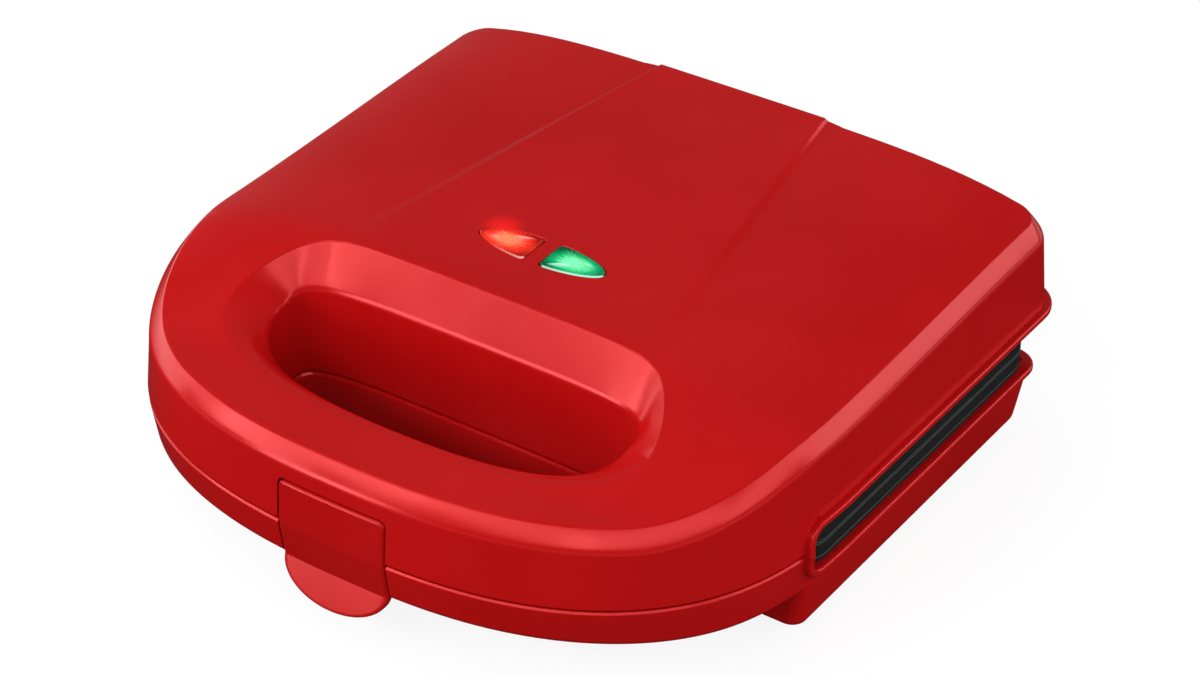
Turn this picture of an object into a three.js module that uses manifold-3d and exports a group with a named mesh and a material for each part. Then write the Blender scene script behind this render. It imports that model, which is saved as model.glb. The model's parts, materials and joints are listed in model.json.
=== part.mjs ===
import * as THREE from "three";
import { mergeVertices } from "three/addons/utils/BufferGeometryUtils.js";
import Module from "manifold-3d";

// A compact two-slice sandwich maker, in millimetres: +X right, +Y to the back, +Z up.
// Heights count from the table. Depths count from the line where the straight sides end
// and the rounded front begins, and the finished group is moved so that its box is centred.

// Shared fits
const GAP = 0.3; // between pieces that touch
const OVERRUN = 20; // how far a cutting solid runs past what it cuts
const WELD = 0.0001; // vertices closer than this are one
const SKIN = 2.5; // wall of both mouldings

// Plan of the body at the parting line
const SEAM = 32;
const HALF_WIDTH = 113.3;
const FRONT_REACH = 94;
const FRONT_FULLNESS = 2.53;
const LID_REAR = 124.5;
const LID_CORNER = 14;
const BASE_REAR = 111.5;
const BASE_CORNER = 8;

// Lid profile
const LID_DRAFT_SHARE = 0.09;
const BAR_HEIGHT = 25; // of the lid's half of the carrying bar
const SHOULDER_RISE = 17.6; // from the bar to behind the finger opening
const REAR_RISE = 4;
const BAR_TOP = SEAM + BAR_HEIGHT;
const SHOULDER_TOP = BAR_TOP + SHOULDER_RISE;
const REAR_TOP = SHOULDER_TOP + REAR_RISE;
const BAR_FLAT = 24; // level run of the bar's top, back from its front
const BAR_END = BAR_FLAT - FRONT_REACH;
const SHOULDER_START = -12;
const BAR_CROWN = 3; // how far the top falls from its middle to its sides
const BODY_CROWN = 11;
const CROWN_POWER = 4;
const BEVEL_DROP = 5.6;
const BEVEL_RUN = 4.1;
const BEVEL_BULGE_SHARE = 0.08;
const PANEL_RAISE = 1.5;
const PANEL_FRONT_RAISE = 0.15;
const PANEL_REAR_HALF = 30.3;
const PANEL_FRONT_HALF = 56;
const PANEL_FRONT = -14;

// Base profile
const BASE_DRAFT_SHARE = 0.14;
const TRAY_DEPTH = 12.5; // of the base's half of the bar
const TRAY_BOTTOM = SEAM - TRAY_DEPTH;
const BASE_BOTTOM = 4.5;
const EDGE_ROUND = 1.6;
const DEEP_FRONT = -24.4; // front wall of the deep part, at the parting line
const DEEP_CORNER = 8;

// Side windows, where the plates show, and the lip round them
const WINDOW_FRONT = -21.5;
const WINDOW_REACH = 7.3; // above and below the parting line
const WINDOW_TOP = SEAM + WINDOW_REACH;
const WINDOW_BOTTOM = SEAM - WINDOW_REACH;
const WINDOW_ROUND = 5;
const LIP_THICKNESS = 2.4;
const LIP_REACH = 2.2;

// Finger opening: throat at the parting line, rim at the foot of the chamfer, mouth on top
const HOLE_REAR_FULLNESS = 3.6;
const HOLE_FRONT_FULLNESS = 2.3;
const HOLE_SIDE = 53.3; // body beside the throat
const HOLE_BAR = 33; // carrying bar in front of the throat
const HOLE_CENTRE = -38;
const HOLE_REAR = -27;
const HOLE_TAPER = 1; // from the parting line down to the underside
const RIM_FLARE = 2;
const RIM_REAR_FLARE = 3;
const MOUTH_FLARE = 13;
const MOUTH_REAR_FLARE = 11.5;
const MOUTH_FRONT_FLARE = 11;
const MOUTH_SHIFT = 3; // its widest line lies this far in front of the throat's
const THROAT = {
  half: HALF_WIDTH - HOLE_SIDE,
  centre: HOLE_CENTRE,
  rear: HOLE_REAR,
  front: HOLE_BAR - FRONT_REACH,
};
const RIM = {
  half: THROAT.half + RIM_FLARE,
  centre: HOLE_CENTRE,
  rear: HOLE_REAR + RIM_REAR_FLARE,
  front: THROAT.front - RIM_FLARE,
};
const MOUTH = {
  half: THROAT.half + MOUTH_FLARE,
  centre: HOLE_CENTRE - MOUTH_SHIFT,
  rear: HOLE_REAR + MOUTH_REAR_FLARE,
  front: THROAT.front - MOUTH_FRONT_FLARE,
};
const UNDERSIDE = {
  half: THROAT.half - HOLE_TAPER,
  centre: HOLE_CENTRE,
  rear: HOLE_REAR - HOLE_TAPER,
  front: THROAT.front + HOLE_TAPER,
};
const RIM_REAR_RISE = 3; // above the bar's top
const RIM_FRONT_DROP = 6; // below it
const RIM_REAR_HEIGHT = BAR_TOP + RIM_REAR_RISE;
const RIM_FRONT_HEIGHT = BAR_TOP - RIM_FRONT_DROP;
const ROLL_BULGE = 2.5;
const ROLL_SHARE = 0.45;
const RIM_FALL_POWER = 1.5;

// Cooking plates
const PLATE_REVEAL = 1.2; // how far its sides lie inside the body's
const PLATE_REAR_SPACE = 5; // room behind it for the lid's inner wall
const PLATE_HALF_WIDTH = HALF_WIDTH - PLATE_REVEAL;
const PLATE_FRONT = WINDOW_FRONT + GAP;
const PLATE_REAR = BASE_REAR - PLATE_REAR_SPACE;
const PLATE_CORNER = 8;
const PLATE_FLANGE = 2.6;
const PLATE_WALL = 2;
const BRIDGE_HALF = 5; // flat land between the two sandwiches
const PLATE_LAND = 8; // flat land round the outside
const POCKET_DEPTH = 12;
const POCKET_TAPER = 6;
const POCKET_ROUND = 9;
const RIDGE_HALF = 2.2; // half the diagonal ridge, at its crest
const PARTITION_RISE = 3; // of the foot of the lid's inner wall behind the plate
const PARTITION_BOTTOM = SEAM + PARTITION_RISE;
const PLATE_BOSS_RADIUS = 2.7;
const PLATE_BOSS_LENGTH = 9;

// Heating
const ELEMENT_RADIUS = 3.3;
const ELEMENT_BEND = 18;
const ELEMENT_TAIL = 14; // half the space between its two ends
const ELEMENT_SIDE_MARGIN = 21; // inside the reflector's edge
const ELEMENT_FRONT_MARGIN = 5;
const ELEMENT_REAR_MARGIN = 8.5;
const REFLECTOR_THICKNESS = 0.8;
const REFLECTOR_SIDE_MARGIN = 15.1; // inside the plate's edge
const REFLECTOR_FRONT_MARGIN = 11.2;
const REFLECTOR_REAR_MARGIN = 13;
const REFLECTOR_HALF = PLATE_HALF_WIDTH - REFLECTOR_SIDE_MARGIN;
const REFLECTOR_FRONT = PLATE_FRONT + REFLECTOR_FRONT_MARGIN;
const REFLECTOR_REAR = PLATE_REAR - REFLECTOR_REAR_MARGIN;
const ELEMENT_HALF = REFLECTOR_HALF - ELEMENT_SIDE_MARGIN;
const ELEMENT_FRONT = REFLECTOR_FRONT + ELEMENT_FRONT_MARGIN;
const ELEMENT_REAR = REFLECTOR_REAR - ELEMENT_REAR_MARGIN;
const REFLECTOR_EDGE = 3;
const REFLECTOR_CORNER = 12;
const POST_RADIUS = 3.5;
const THERMOSTAT = { width: 10, length: 22, height: 13, foot: 2.4, footHeight: 4.6, depth: 22 };
const FUSE = { radius: 2, length: 14, depth: 70 };

// Screws
const SCREW_RADIUS = 1.3;
const SCREW_HEAD_RADIUS = 2.9;
const SCREW_HEAD = 1.1;
const SCREW_CLEARANCE = 0.3;
const PLATE_SCREW_LENGTH = 18;
const PLATE_SCREW_FRONT_INSET = 6.2;
const PLATE_SCREW_REAR_INSET = 8.5;
const PLATE_SCREW_MIDDLE = 42.4;
const PLATE_SCREW_DEPTHS = [
  PLATE_FRONT + PLATE_SCREW_FRONT_INSET,
  PLATE_SCREW_MIDDLE,
  PLATE_REAR - PLATE_SCREW_REAR_INSET,
];
const COVER_SCREW_LENGTH = 8;
const COVER_SCREW_BAR_INSET = 19; // of the two in the bar, from its front
const COVER_SCREW_BAR_SPREAD = 24; // sideways, inside the throat's ends
const COVER_SCREW_SIDE_SPACE = 24; // of the outer two, beside the throat
const COVER_SCREW_SIDE_SHIFT = 2; // and in front of its widest line
const COVER_SCREW_BAR_HALF = THROAT.half - COVER_SCREW_BAR_SPREAD;
const COVER_SCREW_SIDE_HALF = THROAT.half + COVER_SCREW_SIDE_SPACE;
const COVER_SCREW_BAR_DEPTH = COVER_SCREW_BAR_INSET - FRONT_REACH;
const COVER_SCREW_SIDE_DEPTH = HOLE_CENTRE - COVER_SCREW_SIDE_SHIFT;
const COVER_SCREW_PLACES = [
  [-COVER_SCREW_BAR_HALF, COVER_SCREW_BAR_DEPTH],
  [COVER_SCREW_BAR_HALF, COVER_SCREW_BAR_DEPTH],
  [-COVER_SCREW_SIDE_HALF, COVER_SCREW_SIDE_DEPTH],
  [COVER_SCREW_SIDE_HALF, COVER_SCREW_SIDE_DEPTH],
];

// Covers that close the hollow bar
const COVER_THICKNESS = 2.4;
const COVER_RECESS = 0.45;
const COVER_POST_RADIUS = 3.6;

// Hinge
const HINGE_STANDOFF = 5.5; // of the pins' axis, behind the base
const HINGE_DEPTH = BASE_REAR + HINGE_STANDOFF;
const HINGE_DROP = 2; // of the pins' axis, below the parting line
const HINGE_HEIGHT = SEAM - HINGE_DROP;
const HINGE_PIN_RADIUS = 2;
const HINGE_PLACE = 60;
const HINGE_BASE_HALF = 8;
const HINGE_LID_WIDTH = 5;
const HINGE_EAR_RADIUS = 4.5;
const HINGE_EAR_RISE = 14.7; // of its root, above the window
const HINGE_EAR_TOP = WINDOW_TOP + HINGE_EAR_RISE;
const HINGE_GUSSET_RISE = 7.5; // of its foot, above the base's bottom
const HINGE_GUSSET_FOOT = BASE_BOTTOM + HINGE_GUSSET_RISE;

// Latch
const LATCH_HALF = 18.7;
const LATCH_RISE = 13.9; // above the parting line
const LATCH_DROP = 12; // below it, to the root of the tab
const LATCH_TOP = SEAM + LATCH_RISE;
const LATCH_FACE_BOTTOM = SEAM - LATCH_DROP;
const LATCH_THICKNESS = 3;
const LATCH_PROUD = 0.4;
const LATCH_SIDE_GAP = 0.5;
const LATCH_TOP_GAP = 0.8;
const LATCH_POCKET = 6.2;
const CATCH_POCKET = 3.6;
const LATCH_PIN_RADIUS = 0.9;
const LATCH_PIN_DROP = 1.8; // below the latch's top
const LATCH_PIN_HEIGHT = LATCH_TOP - LATCH_PIN_DROP;
const LATCH_PIN_INSET = 1.75;
const LATCH_CHEEK = 2.6;
const TAB_LENGTH = 10.2;
const TAB_FLARE = 4.2;
const TAB_THICKNESS = 2;
const NOSE_HALF = 12;
const NOSE_REACH = 2.6;
const NOSE_DROP = 5.4; // of its top, below the parting line
const NOSE_HEIGHT = 3.4;
const NOSE_TOP = SEAM - NOSE_DROP;
const NOSE_BOTTOM = NOSE_TOP - NOSE_HEIGHT;

// Lamps
const LENS_INNER = 2.9;
const LENS_OUTER = 22.4;
const LENS_DEPTH = 8; // place of the tips, front to back
const LENS_HALF = 5.9; // half the flat inner end
const LENS_PROUD = 0.9;
const LENS_LENGTH = 7;
const LENS_DOME = 9; // height of the ball that rounds its face
const LENS_GAP = 0.35;
const LAMP_HOLDER_MARGIN = 6.6; // past the tips of the lenses
const LAMP_HOLDER_REACH = 9; // to the front and back of them
const LAMP_HOLDER = {
  half: LENS_OUTER + LAMP_HOLDER_MARGIN,
  front: LENS_DEPTH - LAMP_HOLDER_REACH,
  rear: LENS_DEPTH + LAMP_HOLDER_REACH,
  height: 9,
  wall: 1.6,
  post: 2.5,
};
const LAMP_RADIUS = 2.2;
const LAMP_LENGTH = 12;

// Mains inlet and feet
const BUSH_PLACE = 42;
const BUSH_RISE = 9.5; // of its axis, above the base's bottom
const BUSH_HEIGHT = BASE_BOTTOM + BUSH_RISE;
const BUSH_RADIUS = 4;
const BUSH_FLANGE_RADIUS = 6;
const BUSH_FLANGE = 1.5;
const BUSH_BORE = 2.6;
const BLOCK = { length: 24, width: 6, height: 10 };
const FOOT_RADIUS = 7;
const FOOT_TOP_RADIUS = 8;
const FOOT_RECESS = 1;
const FOOT_SIDE_INSET = 25.3; // from the body's side
const FOOT_FRONT_INSET = 18.4; // from the deep part's front wall
const FOOT_REAR_INSET = 19.5;
const FOOT_HALF = HALF_WIDTH - FOOT_SIDE_INSET;
const FOOT_PLACES = [
  [-FOOT_HALF, DEEP_FRONT + FOOT_FRONT_INSET],
  [FOOT_HALF, DEEP_FRONT + FOOT_FRONT_INSET],
  [-FOOT_HALF, BASE_REAR - FOOT_REAR_INSET],
  [FOOT_HALF, BASE_REAR - FOOT_REAR_INSET],
];
const VENT = { length: 26, width: 3, pitch: 8, count: 6, places: [-52, 52], depth: 22 };

// Facets
const FRONT_STEPS = 28;
const SIDE_STEPS = 5;
const CORNER_STEPS = 4;
const REAR_STEPS = 8;
const HOLE_STEPS = 40;
const ROUND_STEPS = 16;
const SCREW_STEPS = 10;
const CROWN_STEPS = 12;
const CROWN_SPREAD_SHARE = 0.7;
const RISE_STEPS = 7;
const BEVEL_SHARES = [0, 0.5, 1, 1.5]; // the last one runs on past the top surface

const wasm = await Module();
wasm.setup();

// Helpers that turn three.js geometry into solids and back

function solidOf(geometry) {
  const bare = geometry.index ? geometry.toNonIndexed() : geometry.clone();
  for (const name of Object.keys(bare.attributes)) {
    if (name !== "position") bare.deleteAttribute(name);
  }
  const welded = mergeVertices(bare, WELD);
  return new wasm.Manifold(
    new wasm.Mesh({
      numProp: 3,
      vertProperties: welded.attributes.position.array,
      triVerts: new Uint32Array(welded.index.array),
    }),
  );
}

function geometryOf(solid) {
  const mesh = solid.getMesh();
  const geometry = new THREE.BufferGeometry();
  geometry.setAttribute("position", new THREE.BufferAttribute(mesh.vertProperties, mesh.numProp));
  geometry.setIndex(new THREE.BufferAttribute(mesh.triVerts, 1));
  const flat = geometry.toNonIndexed();
  flat.computeVertexNormals();
  return flat;
}

const join = (solids) => solids.reduce((whole, piece) => whole.add(piece));
const cut = (solid, tools) => tools.reduce((whole, tool) => whole.subtract(tool), solid);

function block([x0, x1], [y0, y1], [z0, z1]) {
  const box = new THREE.BoxGeometry(x1 - x0, y1 - y0, z1 - z0);
  return solidOf(box.translate((x0 + x1) / 2, (y0 + y1) / 2, (z0 + z1) / 2));
}

// An upright round bar from one height to another
function post(radius, x, y, bottom, top, steps = ROUND_STEPS) {
  const bar = new THREE.CylinderGeometry(radius, radius, top - bottom, steps);
  return solidOf(bar.rotateX(Math.PI / 2).translate(x, y, (bottom + top) / 2));
}

// A round bar along X
function crossBar(radius, x0, x1, y, z, steps = ROUND_STEPS) {
  const bar = new THREE.CylinderGeometry(radius, radius, x1 - x0, steps);
  return solidOf(bar.rotateZ(Math.PI / 2).translate((x0 + x1) / 2, y, z));
}

// A profile drawn in depth and height, extruded along X
function sideProfile(shape, x0, x1) {
  const slab = new THREE.ExtrudeGeometry(shape, {
    depth: x1 - x0,
    bevelEnabled: false,
    curveSegments: CORNER_STEPS * 2,
  });
  slab.applyMatrix4(
    new THREE.Matrix4().makeBasis(
      new THREE.Vector3(0, 1, 0),
      new THREE.Vector3(0, 0, 1),
      new THREE.Vector3(1, 0, 0),
    ),
  );
  return solidOf(slab.translate(x0, 0, 0));
}

// Skins a stack of rings, each anticlockwise seen from above, from the lowest up
function loft(rings) {
  const count = rings[0].length;
  const points = rings.flat();
  const centreOf = (ring) =>
    ring.reduce((sum, p) => sum.add(p), new THREE.Vector3()).divideScalar(ring.length);
  points.push(centreOf(rings[0]), centreOf(rings[rings.length - 1]));
  const [bottom, top] = [points.length - 2, points.length - 1];
  const faces = [];
  for (let i = 0; i < count; i++) {
    const next = (i + 1) % count;
    faces.push(bottom, next, i);
    for (let r = 0; r + 1 < rings.length; r++) {
      const [a, b] = [r * count + i, r * count + next];
      faces.push(a, b, b + count, a, b + count, a + count);
    }
    const last = (rings.length - 1) * count;
    faces.push(top, last + i, last + next);
  }
  const geometry = new THREE.BufferGeometry().setFromPoints(points);
  return solidOf(geometry.setIndex(faces));
}

function smooth(value) {
  const share = Math.min(Math.max(value, 0), 1);
  return share * share * (3 - 2 * share);
}

const power = (value, exponent) => Math.sign(value) * Math.abs(value) ** exponent;

// Plan outlines: right side, rear edge, left side, then the rounded front

function planPoints(plan, inset = () => 0) {
  const at = [];
  const side = (share, mirror) => (gap) => [
    mirror * (plan.half - gap),
    share * (plan.rear - plan.corner),
  ];
  const corner = (share, mirror) => (gap) => {
    const angle = (share * Math.PI) / 2;
    const round = Math.max(plan.corner - gap, GAP);
    return [
      mirror * (plan.half - gap - round + round * Math.cos(angle)),
      plan.rear - gap - round + round * Math.sin(angle),
    ];
  };
  const rear = (share) => (gap) => {
    const round = Math.max(plan.corner - gap, GAP);
    return [(1 - 2 * share) * (plan.half - gap - round), plan.rear - gap];
  };
  const front = (share) => (gap) => {
    const angle = Math.PI * (1 + share);
    return [
      (plan.half - gap) * power(Math.cos(angle), 2 / FRONT_FULLNESS),
      (plan.front - gap) * power(Math.sin(angle), 2 / FRONT_FULLNESS),
    ];
  };
  for (let i = 0; i < SIDE_STEPS; i++) at.push(side(i / SIDE_STEPS, 1));
  for (let i = 0; i < CORNER_STEPS; i++) at.push(corner(i / CORNER_STEPS, 1));
  for (let i = 0; i < REAR_STEPS; i++) at.push(rear(i / REAR_STEPS));
  for (let i = 0; i < CORNER_STEPS; i++) at.push(corner(1 - i / CORNER_STEPS, -1));
  for (let i = 0; i < SIDE_STEPS; i++) at.push(side(1 - i / SIDE_STEPS, -1));
  for (let i = 0; i < FRONT_STEPS; i++) at.push(front(i / FRONT_STEPS));
  return at.map((place) => place(inset(place)));
}

const LID_PLAN = { half: HALF_WIDTH, front: FRONT_REACH, rear: LID_REAR, corner: LID_CORNER };
const BASE_PLAN = { half: HALF_WIDTH, front: FRONT_REACH, rear: BASE_REAR, corner: BASE_CORNER };

// Height of the lid's top over the plan
function lidTop(x, y) {
  const rise = smooth((y - BAR_END) / (SHOULDER_START - BAR_END));
  const climb = smooth((y - SHOULDER_START) / (LID_REAR - SHOULDER_START));
  const crown = BAR_CROWN + (BODY_CROWN - BAR_CROWN) * rise;
  const spine = BAR_TOP + (SHOULDER_TOP - BAR_TOP) * rise + (REAR_TOP - SHOULDER_TOP) * climb;
  return spine - crown * Math.abs(x / HALF_WIDTH) ** CROWN_POWER;
}

// Everything under the lid's top surface, from cross sections taken front to back
function underTop(topAt) {
  const wide = HALF_WIDTH + OVERRUN;
  const across = Array.from({ length: CROWN_STEPS + 1 }, (_, i) => {
    return wide * power((2 * i) / CROWN_STEPS - 1, CROWN_SPREAD_SHARE);
  });
  const rise = Array.from({ length: RISE_STEPS + 1 }, (_, i) => {
    return BAR_END + ((SHOULDER_START - BAR_END) * i) / RISE_STEPS;
  });
  const climb = Array.from({ length: SIDE_STEPS + 1 }, (_, i) => {
    return SHOULDER_START + ((LID_REAR + OVERRUN - SHOULDER_START) * (i + 1)) / (SIDE_STEPS + 1);
  });
  const sections = [-FRONT_REACH - OVERRUN, ...rise, ...climb];
  return loft(
    sections.map((y) => {
      const top = across.map((x) => new THREE.Vector3(x, y, topAt(x, y)));
      const feet = [wide, -wide].map((x) => new THREE.Vector3(x, y, -OVERRUN));
      return [...top, ...feet];
    }),
  );
}

// The lid's outer form, shrunk by a skin and lifted by a height over the plan
function lidForm(skin, lift, bottom) {
  const topAt = (x, y) => lidTop(x, y) - skin + lift(y);
  const lowerInset = (place) => {
    const [x, y] = place(skin + BEVEL_RUN);
    return skin + LID_DRAFT_SHARE * (topAt(x, y) - BEVEL_DROP - SEAM);
  };
  const bevelRing = (share) => {
    const points = planPoints(LID_PLAN, (place) => lowerInset(place) + BEVEL_RUN * share);
    const edges = planPoints(LID_PLAN, (place) => lowerInset(place) + BEVEL_RUN);
    const drop = BEVEL_DROP * (1 - share - Math.sin(share * Math.PI) * BEVEL_BULGE_SHARE);
    return points.map(([x, y], i) => new THREE.Vector3(x, y, topAt(...edges[i]) - drop));
  };
  const foot = planPoints(LID_PLAN, () => skin + LID_DRAFT_SHARE * (bottom - SEAM));
  const past = bevelRing(BEVEL_SHARES[BEVEL_SHARES.length - 1]);
  const walls = loft([
    foot.map(([x, y]) => new THREE.Vector3(x, y, bottom)),
    ...BEVEL_SHARES.map(bevelRing),
    past.map((p) => p.setZ(p.z + OVERRUN)),
  ]);
  return walls.intersect(underTop(topAt));
}

// The base's two forms: the shallow front tray and the deep body behind it
function baseForm(plan, skin, bottom, top) {
  const ring = (extra, height) =>
    planPoints(plan, () => skin + extra + BASE_DRAFT_SHARE * (SEAM - height)).map(
      ([x, y]) => new THREE.Vector3(x, y, height),
    );
  return loft([ring(EDGE_ROUND, bottom), ring(0, bottom + EDGE_ROUND), ring(0, top)]);
}

function deepForm(skin, bottom, top) {
  const ring = (extra, height) => {
    const inset = skin + extra + BASE_DRAFT_SHARE * (SEAM - height);
    const round = Math.max(DEEP_CORNER - skin, GAP);
    return roundedRing(
      [HALF_WIDTH - inset, DEEP_FRONT + skin + extra, BASE_REAR - inset],
      round,
      height,
    );
  };
  return loft([ring(EDGE_ROUND, bottom), ring(0, bottom + EDGE_ROUND), ring(0, top)]);
}

// A rounded rectangle ring, symmetric about X
function roundedRing([half, front, rear], round, height) {
  const corners = [
    [half, rear, 0],
    [-half, rear, 1],
    [-half, front, 2],
    [half, front, 3],
  ];
  return corners.flatMap(([x, y, quarter]) => {
    const points = [];
    for (let i = 0; i <= CORNER_STEPS; i++) {
      const angle = ((quarter + i / CORNER_STEPS) * Math.PI) / 2;
      const cx = x - Math.sign(x) * round;
      const cy = y - (y === rear ? round : -round);
      points.push(
        new THREE.Vector3(cx + round * Math.cos(angle), cy + round * Math.sin(angle), height),
      );
    }
    return points;
  });
}

// Finger opening

function holeRing(curve, grow, heightAt) {
  const ring = [];
  for (let i = 0; i < HOLE_STEPS; i++) {
    const angle = (i / HOLE_STEPS) * 2 * Math.PI;
    const [across, along] = [Math.cos(angle), Math.sin(angle)];
    const behind = i * 2 < HOLE_STEPS;
    const fullness = behind ? HOLE_REAR_FULLNESS : HOLE_FRONT_FULLNESS;
    const depth = behind ? curve.rear - curve.centre : curve.centre - curve.front;
    const x = (curve.half + grow) * power(across, 2 / fullness);
    const y = curve.centre + (depth + grow) * power(along, 2 / fullness);
    ring.push(new THREE.Vector3(x, y, heightAt(x, y, smooth((1 - along) / 2))));
  }
  return ring;
}

// The funnel that the fingers reach through, grown by a wall where it is left standing
function lidHole(grow) {
  const rimHeight = (x, y, front) =>
    RIM_REAR_HEIGHT - (RIM_REAR_HEIGHT - RIM_FRONT_HEIGHT) * front ** RIM_FALL_POWER;
  const rim = holeRing(RIM, grow, rimHeight);
  const mouth = holeRing(MOUTH, grow, (x, y) => lidTop(x, y));
  const roll = rim.map((p, i) => {
    const front = smooth((1 - Math.sin((i / HOLE_STEPS) * 2 * Math.PI)) / 2);
    const middle = p.clone().lerp(mouth[i], ROLL_SHARE);
    middle.z += ROLL_BULGE * front;
    return middle;
  });
  return loft([
    holeRing(THROAT, grow, () => SEAM - OVERRUN),
    holeRing(THROAT, grow, () => SEAM),
    rim,
    roll,
    mouth,
    mouth.map((p) => p.clone().setZ(p.z + OVERRUN)),
  ]);
}

function baseHole(grow, bottom) {
  return loft([
    holeRing(UNDERSIDE, grow, () => bottom),
    holeRing(UNDERSIDE, grow, () => TRAY_BOTTOM),
    holeRing(THROAT, grow, () => SEAM),
    holeRing(THROAT, grow, () => SEAM + OVERRUN),
  ]);
}

// The window that bares the plates, drawn in depth and height, and the band round it
function windowProfile(grow, edge, direction) {
  const front = WINDOW_FRONT - grow;
  const height = edge + direction * grow;
  const round = WINDOW_ROUND + grow;
  const rear = LID_REAR + OVERRUN;
  const far = SEAM - direction * OVERRUN;
  const shape = new THREE.Shape();
  shape.moveTo(front, far);
  shape.lineTo(rear, far);
  shape.lineTo(rear, height);
  shape.lineTo(front + round, height);
  shape.quadraticCurveTo(front, height, front, height - direction * round);
  shape.closePath();
  return sideProfile(shape, -HALF_WIDTH - OVERRUN, HALF_WIDTH + OVERRUN);
}

// Screws, along +Z or -Z from the underside of the head

function screw(x, y, seat, length, direction) {
  const profile = [
    [0, -SCREW_HEAD],
    [SCREW_HEAD_RADIUS, -SCREW_HEAD],
    [SCREW_HEAD_RADIUS, 0],
    [SCREW_RADIUS, 0],
    [SCREW_RADIUS, length - SCREW_RADIUS],
    [0, length],
  ].map(([r, z]) => new THREE.Vector2(r, z));
  const turned = new THREE.LatheGeometry(profile, SCREW_STEPS);
  turned.rotateX(direction > 0 ? Math.PI / 2 : -Math.PI / 2);
  return turned.translate(x, y, seat);
}

// A screw hole with its counterbore, for a head that sits below a face
function screwHole(x, y, face, seat, end) {
  const bore = SCREW_RADIUS + SCREW_CLEARANCE;
  const away = face + Math.sign(face - seat) * OVERRUN;
  const [low, high] = [Math.min(face, end), Math.max(face, end)];
  return join([
    post(bore, x, y, low, high, SCREW_STEPS),
    post(
      SCREW_HEAD_RADIUS + SCREW_CLEARANCE,
      x,
      y,
      Math.min(away, seat),
      Math.max(away, seat),
      ROUND_STEPS,
    ),
  ]);
}

// Cooking plates: modelled for the lower one, and mirrored in the parting line for the upper

const PLATE_FACE = SEAM - GAP / 2;
const SKIRT_DEPTH = PLATE_FACE - WINDOW_BOTTOM - GAP * 3;

function insetTriangle(corners, inset) {
  const sides = corners.map((p, i) => {
    const q = corners[(i + 1) % 3];
    const along = q.clone().sub(p).normalize();
    const inward = new THREE.Vector2(-along.y, along.x);
    return { from: p.clone().addScaledVector(inward, inset), along };
  });
  return sides.map((side, i) => {
    const other = sides[(i + 2) % 3];
    const across = side.from.clone().sub(other.from);
    const turn = other.along.cross(side.along);
    return other.from.clone().addScaledVector(other.along, across.cross(side.along) / turn);
  });
}

// A ring round a triangle whose corners are rounded
function triangleRing(corners, inset, round, height) {
  const centres = insetTriangle(corners, inset + round);
  return centres.flatMap((centre, i) => {
    const before = corners[(i + 2) % 3];
    const after = corners[(i + 1) % 3];
    const start = corners[i].clone().sub(before).angle() - Math.PI / 2;
    let end = after.clone().sub(corners[i]).angle() - Math.PI / 2;
    if (end < start) end += 2 * Math.PI;
    const points = [];
    for (let k = 0; k <= CORNER_STEPS; k++) {
      const angle = start + ((end - start) * k) / CORNER_STEPS;
      points.push(
        new THREE.Vector3(
          centre.x + round * Math.cos(angle),
          centre.y + round * Math.sin(angle),
          height,
        ),
      );
    }
    return points;
  });
}

// The two triangular pockets of one sandwich, split by a diagonal ridge
function pocketTriangles(mirror) {
  const inner = BRIDGE_HALF;
  const outer = PLATE_HALF_WIDTH - PLATE_LAND;
  const front = PLATE_FRONT + PLATE_LAND;
  const rear = PLATE_REAR - PLATE_LAND;
  const slope = new THREE.Vector2(outer - inner, rear - front).length();
  const stepX = (RIDGE_HALF * slope) / (rear - front);
  const stepY = (RIDGE_HALF * slope) / (outer - inner);
  const near = [
    [inner, front],
    [outer - stepX, front],
    [inner, rear - stepY],
  ];
  const far = [
    [outer, rear],
    [inner + stepX, rear],
    [outer, front + stepY],
  ];
  return [near, far].map((corners) => {
    const points = corners.map(([x, y]) => new THREE.Vector2(x * mirror, y));
    return mirror > 0 ? points : points.reverse();
  });
}

function pocket(corners, grow, top) {
  const floor = PLATE_FACE - POCKET_DEPTH - grow;
  const middle = (PLATE_FACE + floor) / 2;
  const ring = (inset, height) => triangleRing(corners, inset - grow, POCKET_ROUND, height);
  return loft([
    ring(POCKET_TAPER, floor),
    ring(POCKET_TAPER / 3, middle),
    ring(0, PLATE_FACE),
    ring(0, top),
  ]);
}

function plateSolid() {
  const outline = [PLATE_HALF_WIDTH, PLATE_FRONT, PLATE_REAR];
  const inner = [
    PLATE_HALF_WIDTH - PLATE_WALL,
    PLATE_FRONT + PLATE_WALL,
    PLATE_REAR - PLATE_WALL,
  ];
  const back = PLATE_FACE - PLATE_FLANGE;
  const rim = loft([
    roundedRing(outline, PLATE_CORNER, PLATE_FACE - SKIRT_DEPTH),
    roundedRing(outline, PLATE_CORNER, PLATE_FACE),
  ]);
  const hollow = loft([
    roundedRing(inner, PLATE_CORNER - PLATE_WALL, back - OVERRUN),
    roundedRing(inner, PLATE_CORNER - PLATE_WALL, back),
  ]);
  const triangles = [-1, 1].flatMap(pocketTriangles);
  const shells = triangles.map((corners) => pocket(corners, PLATE_WALL, PLATE_FACE - GAP));
  const bosses = PLATE_SCREW_DEPTHS.map((y) =>
    post(PLATE_BOSS_RADIUS, 0, y, back - PLATE_BOSS_LENGTH, back + GAP),
  );
  const seat = PLATE_FACE - GAP - SCREW_HEAD;
  const holes = PLATE_SCREW_DEPTHS.map((y) =>
    screwHole(0, y, PLATE_FACE, seat, back - PLATE_BOSS_LENGTH - OVERRUN),
  );
  const pockets = triangles.map((corners) => pocket(corners, 0, PLATE_FACE + OVERRUN));
  return cut(join([rim.subtract(hollow), ...shells, ...bosses]), [...pockets, ...holes]);
}

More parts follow.
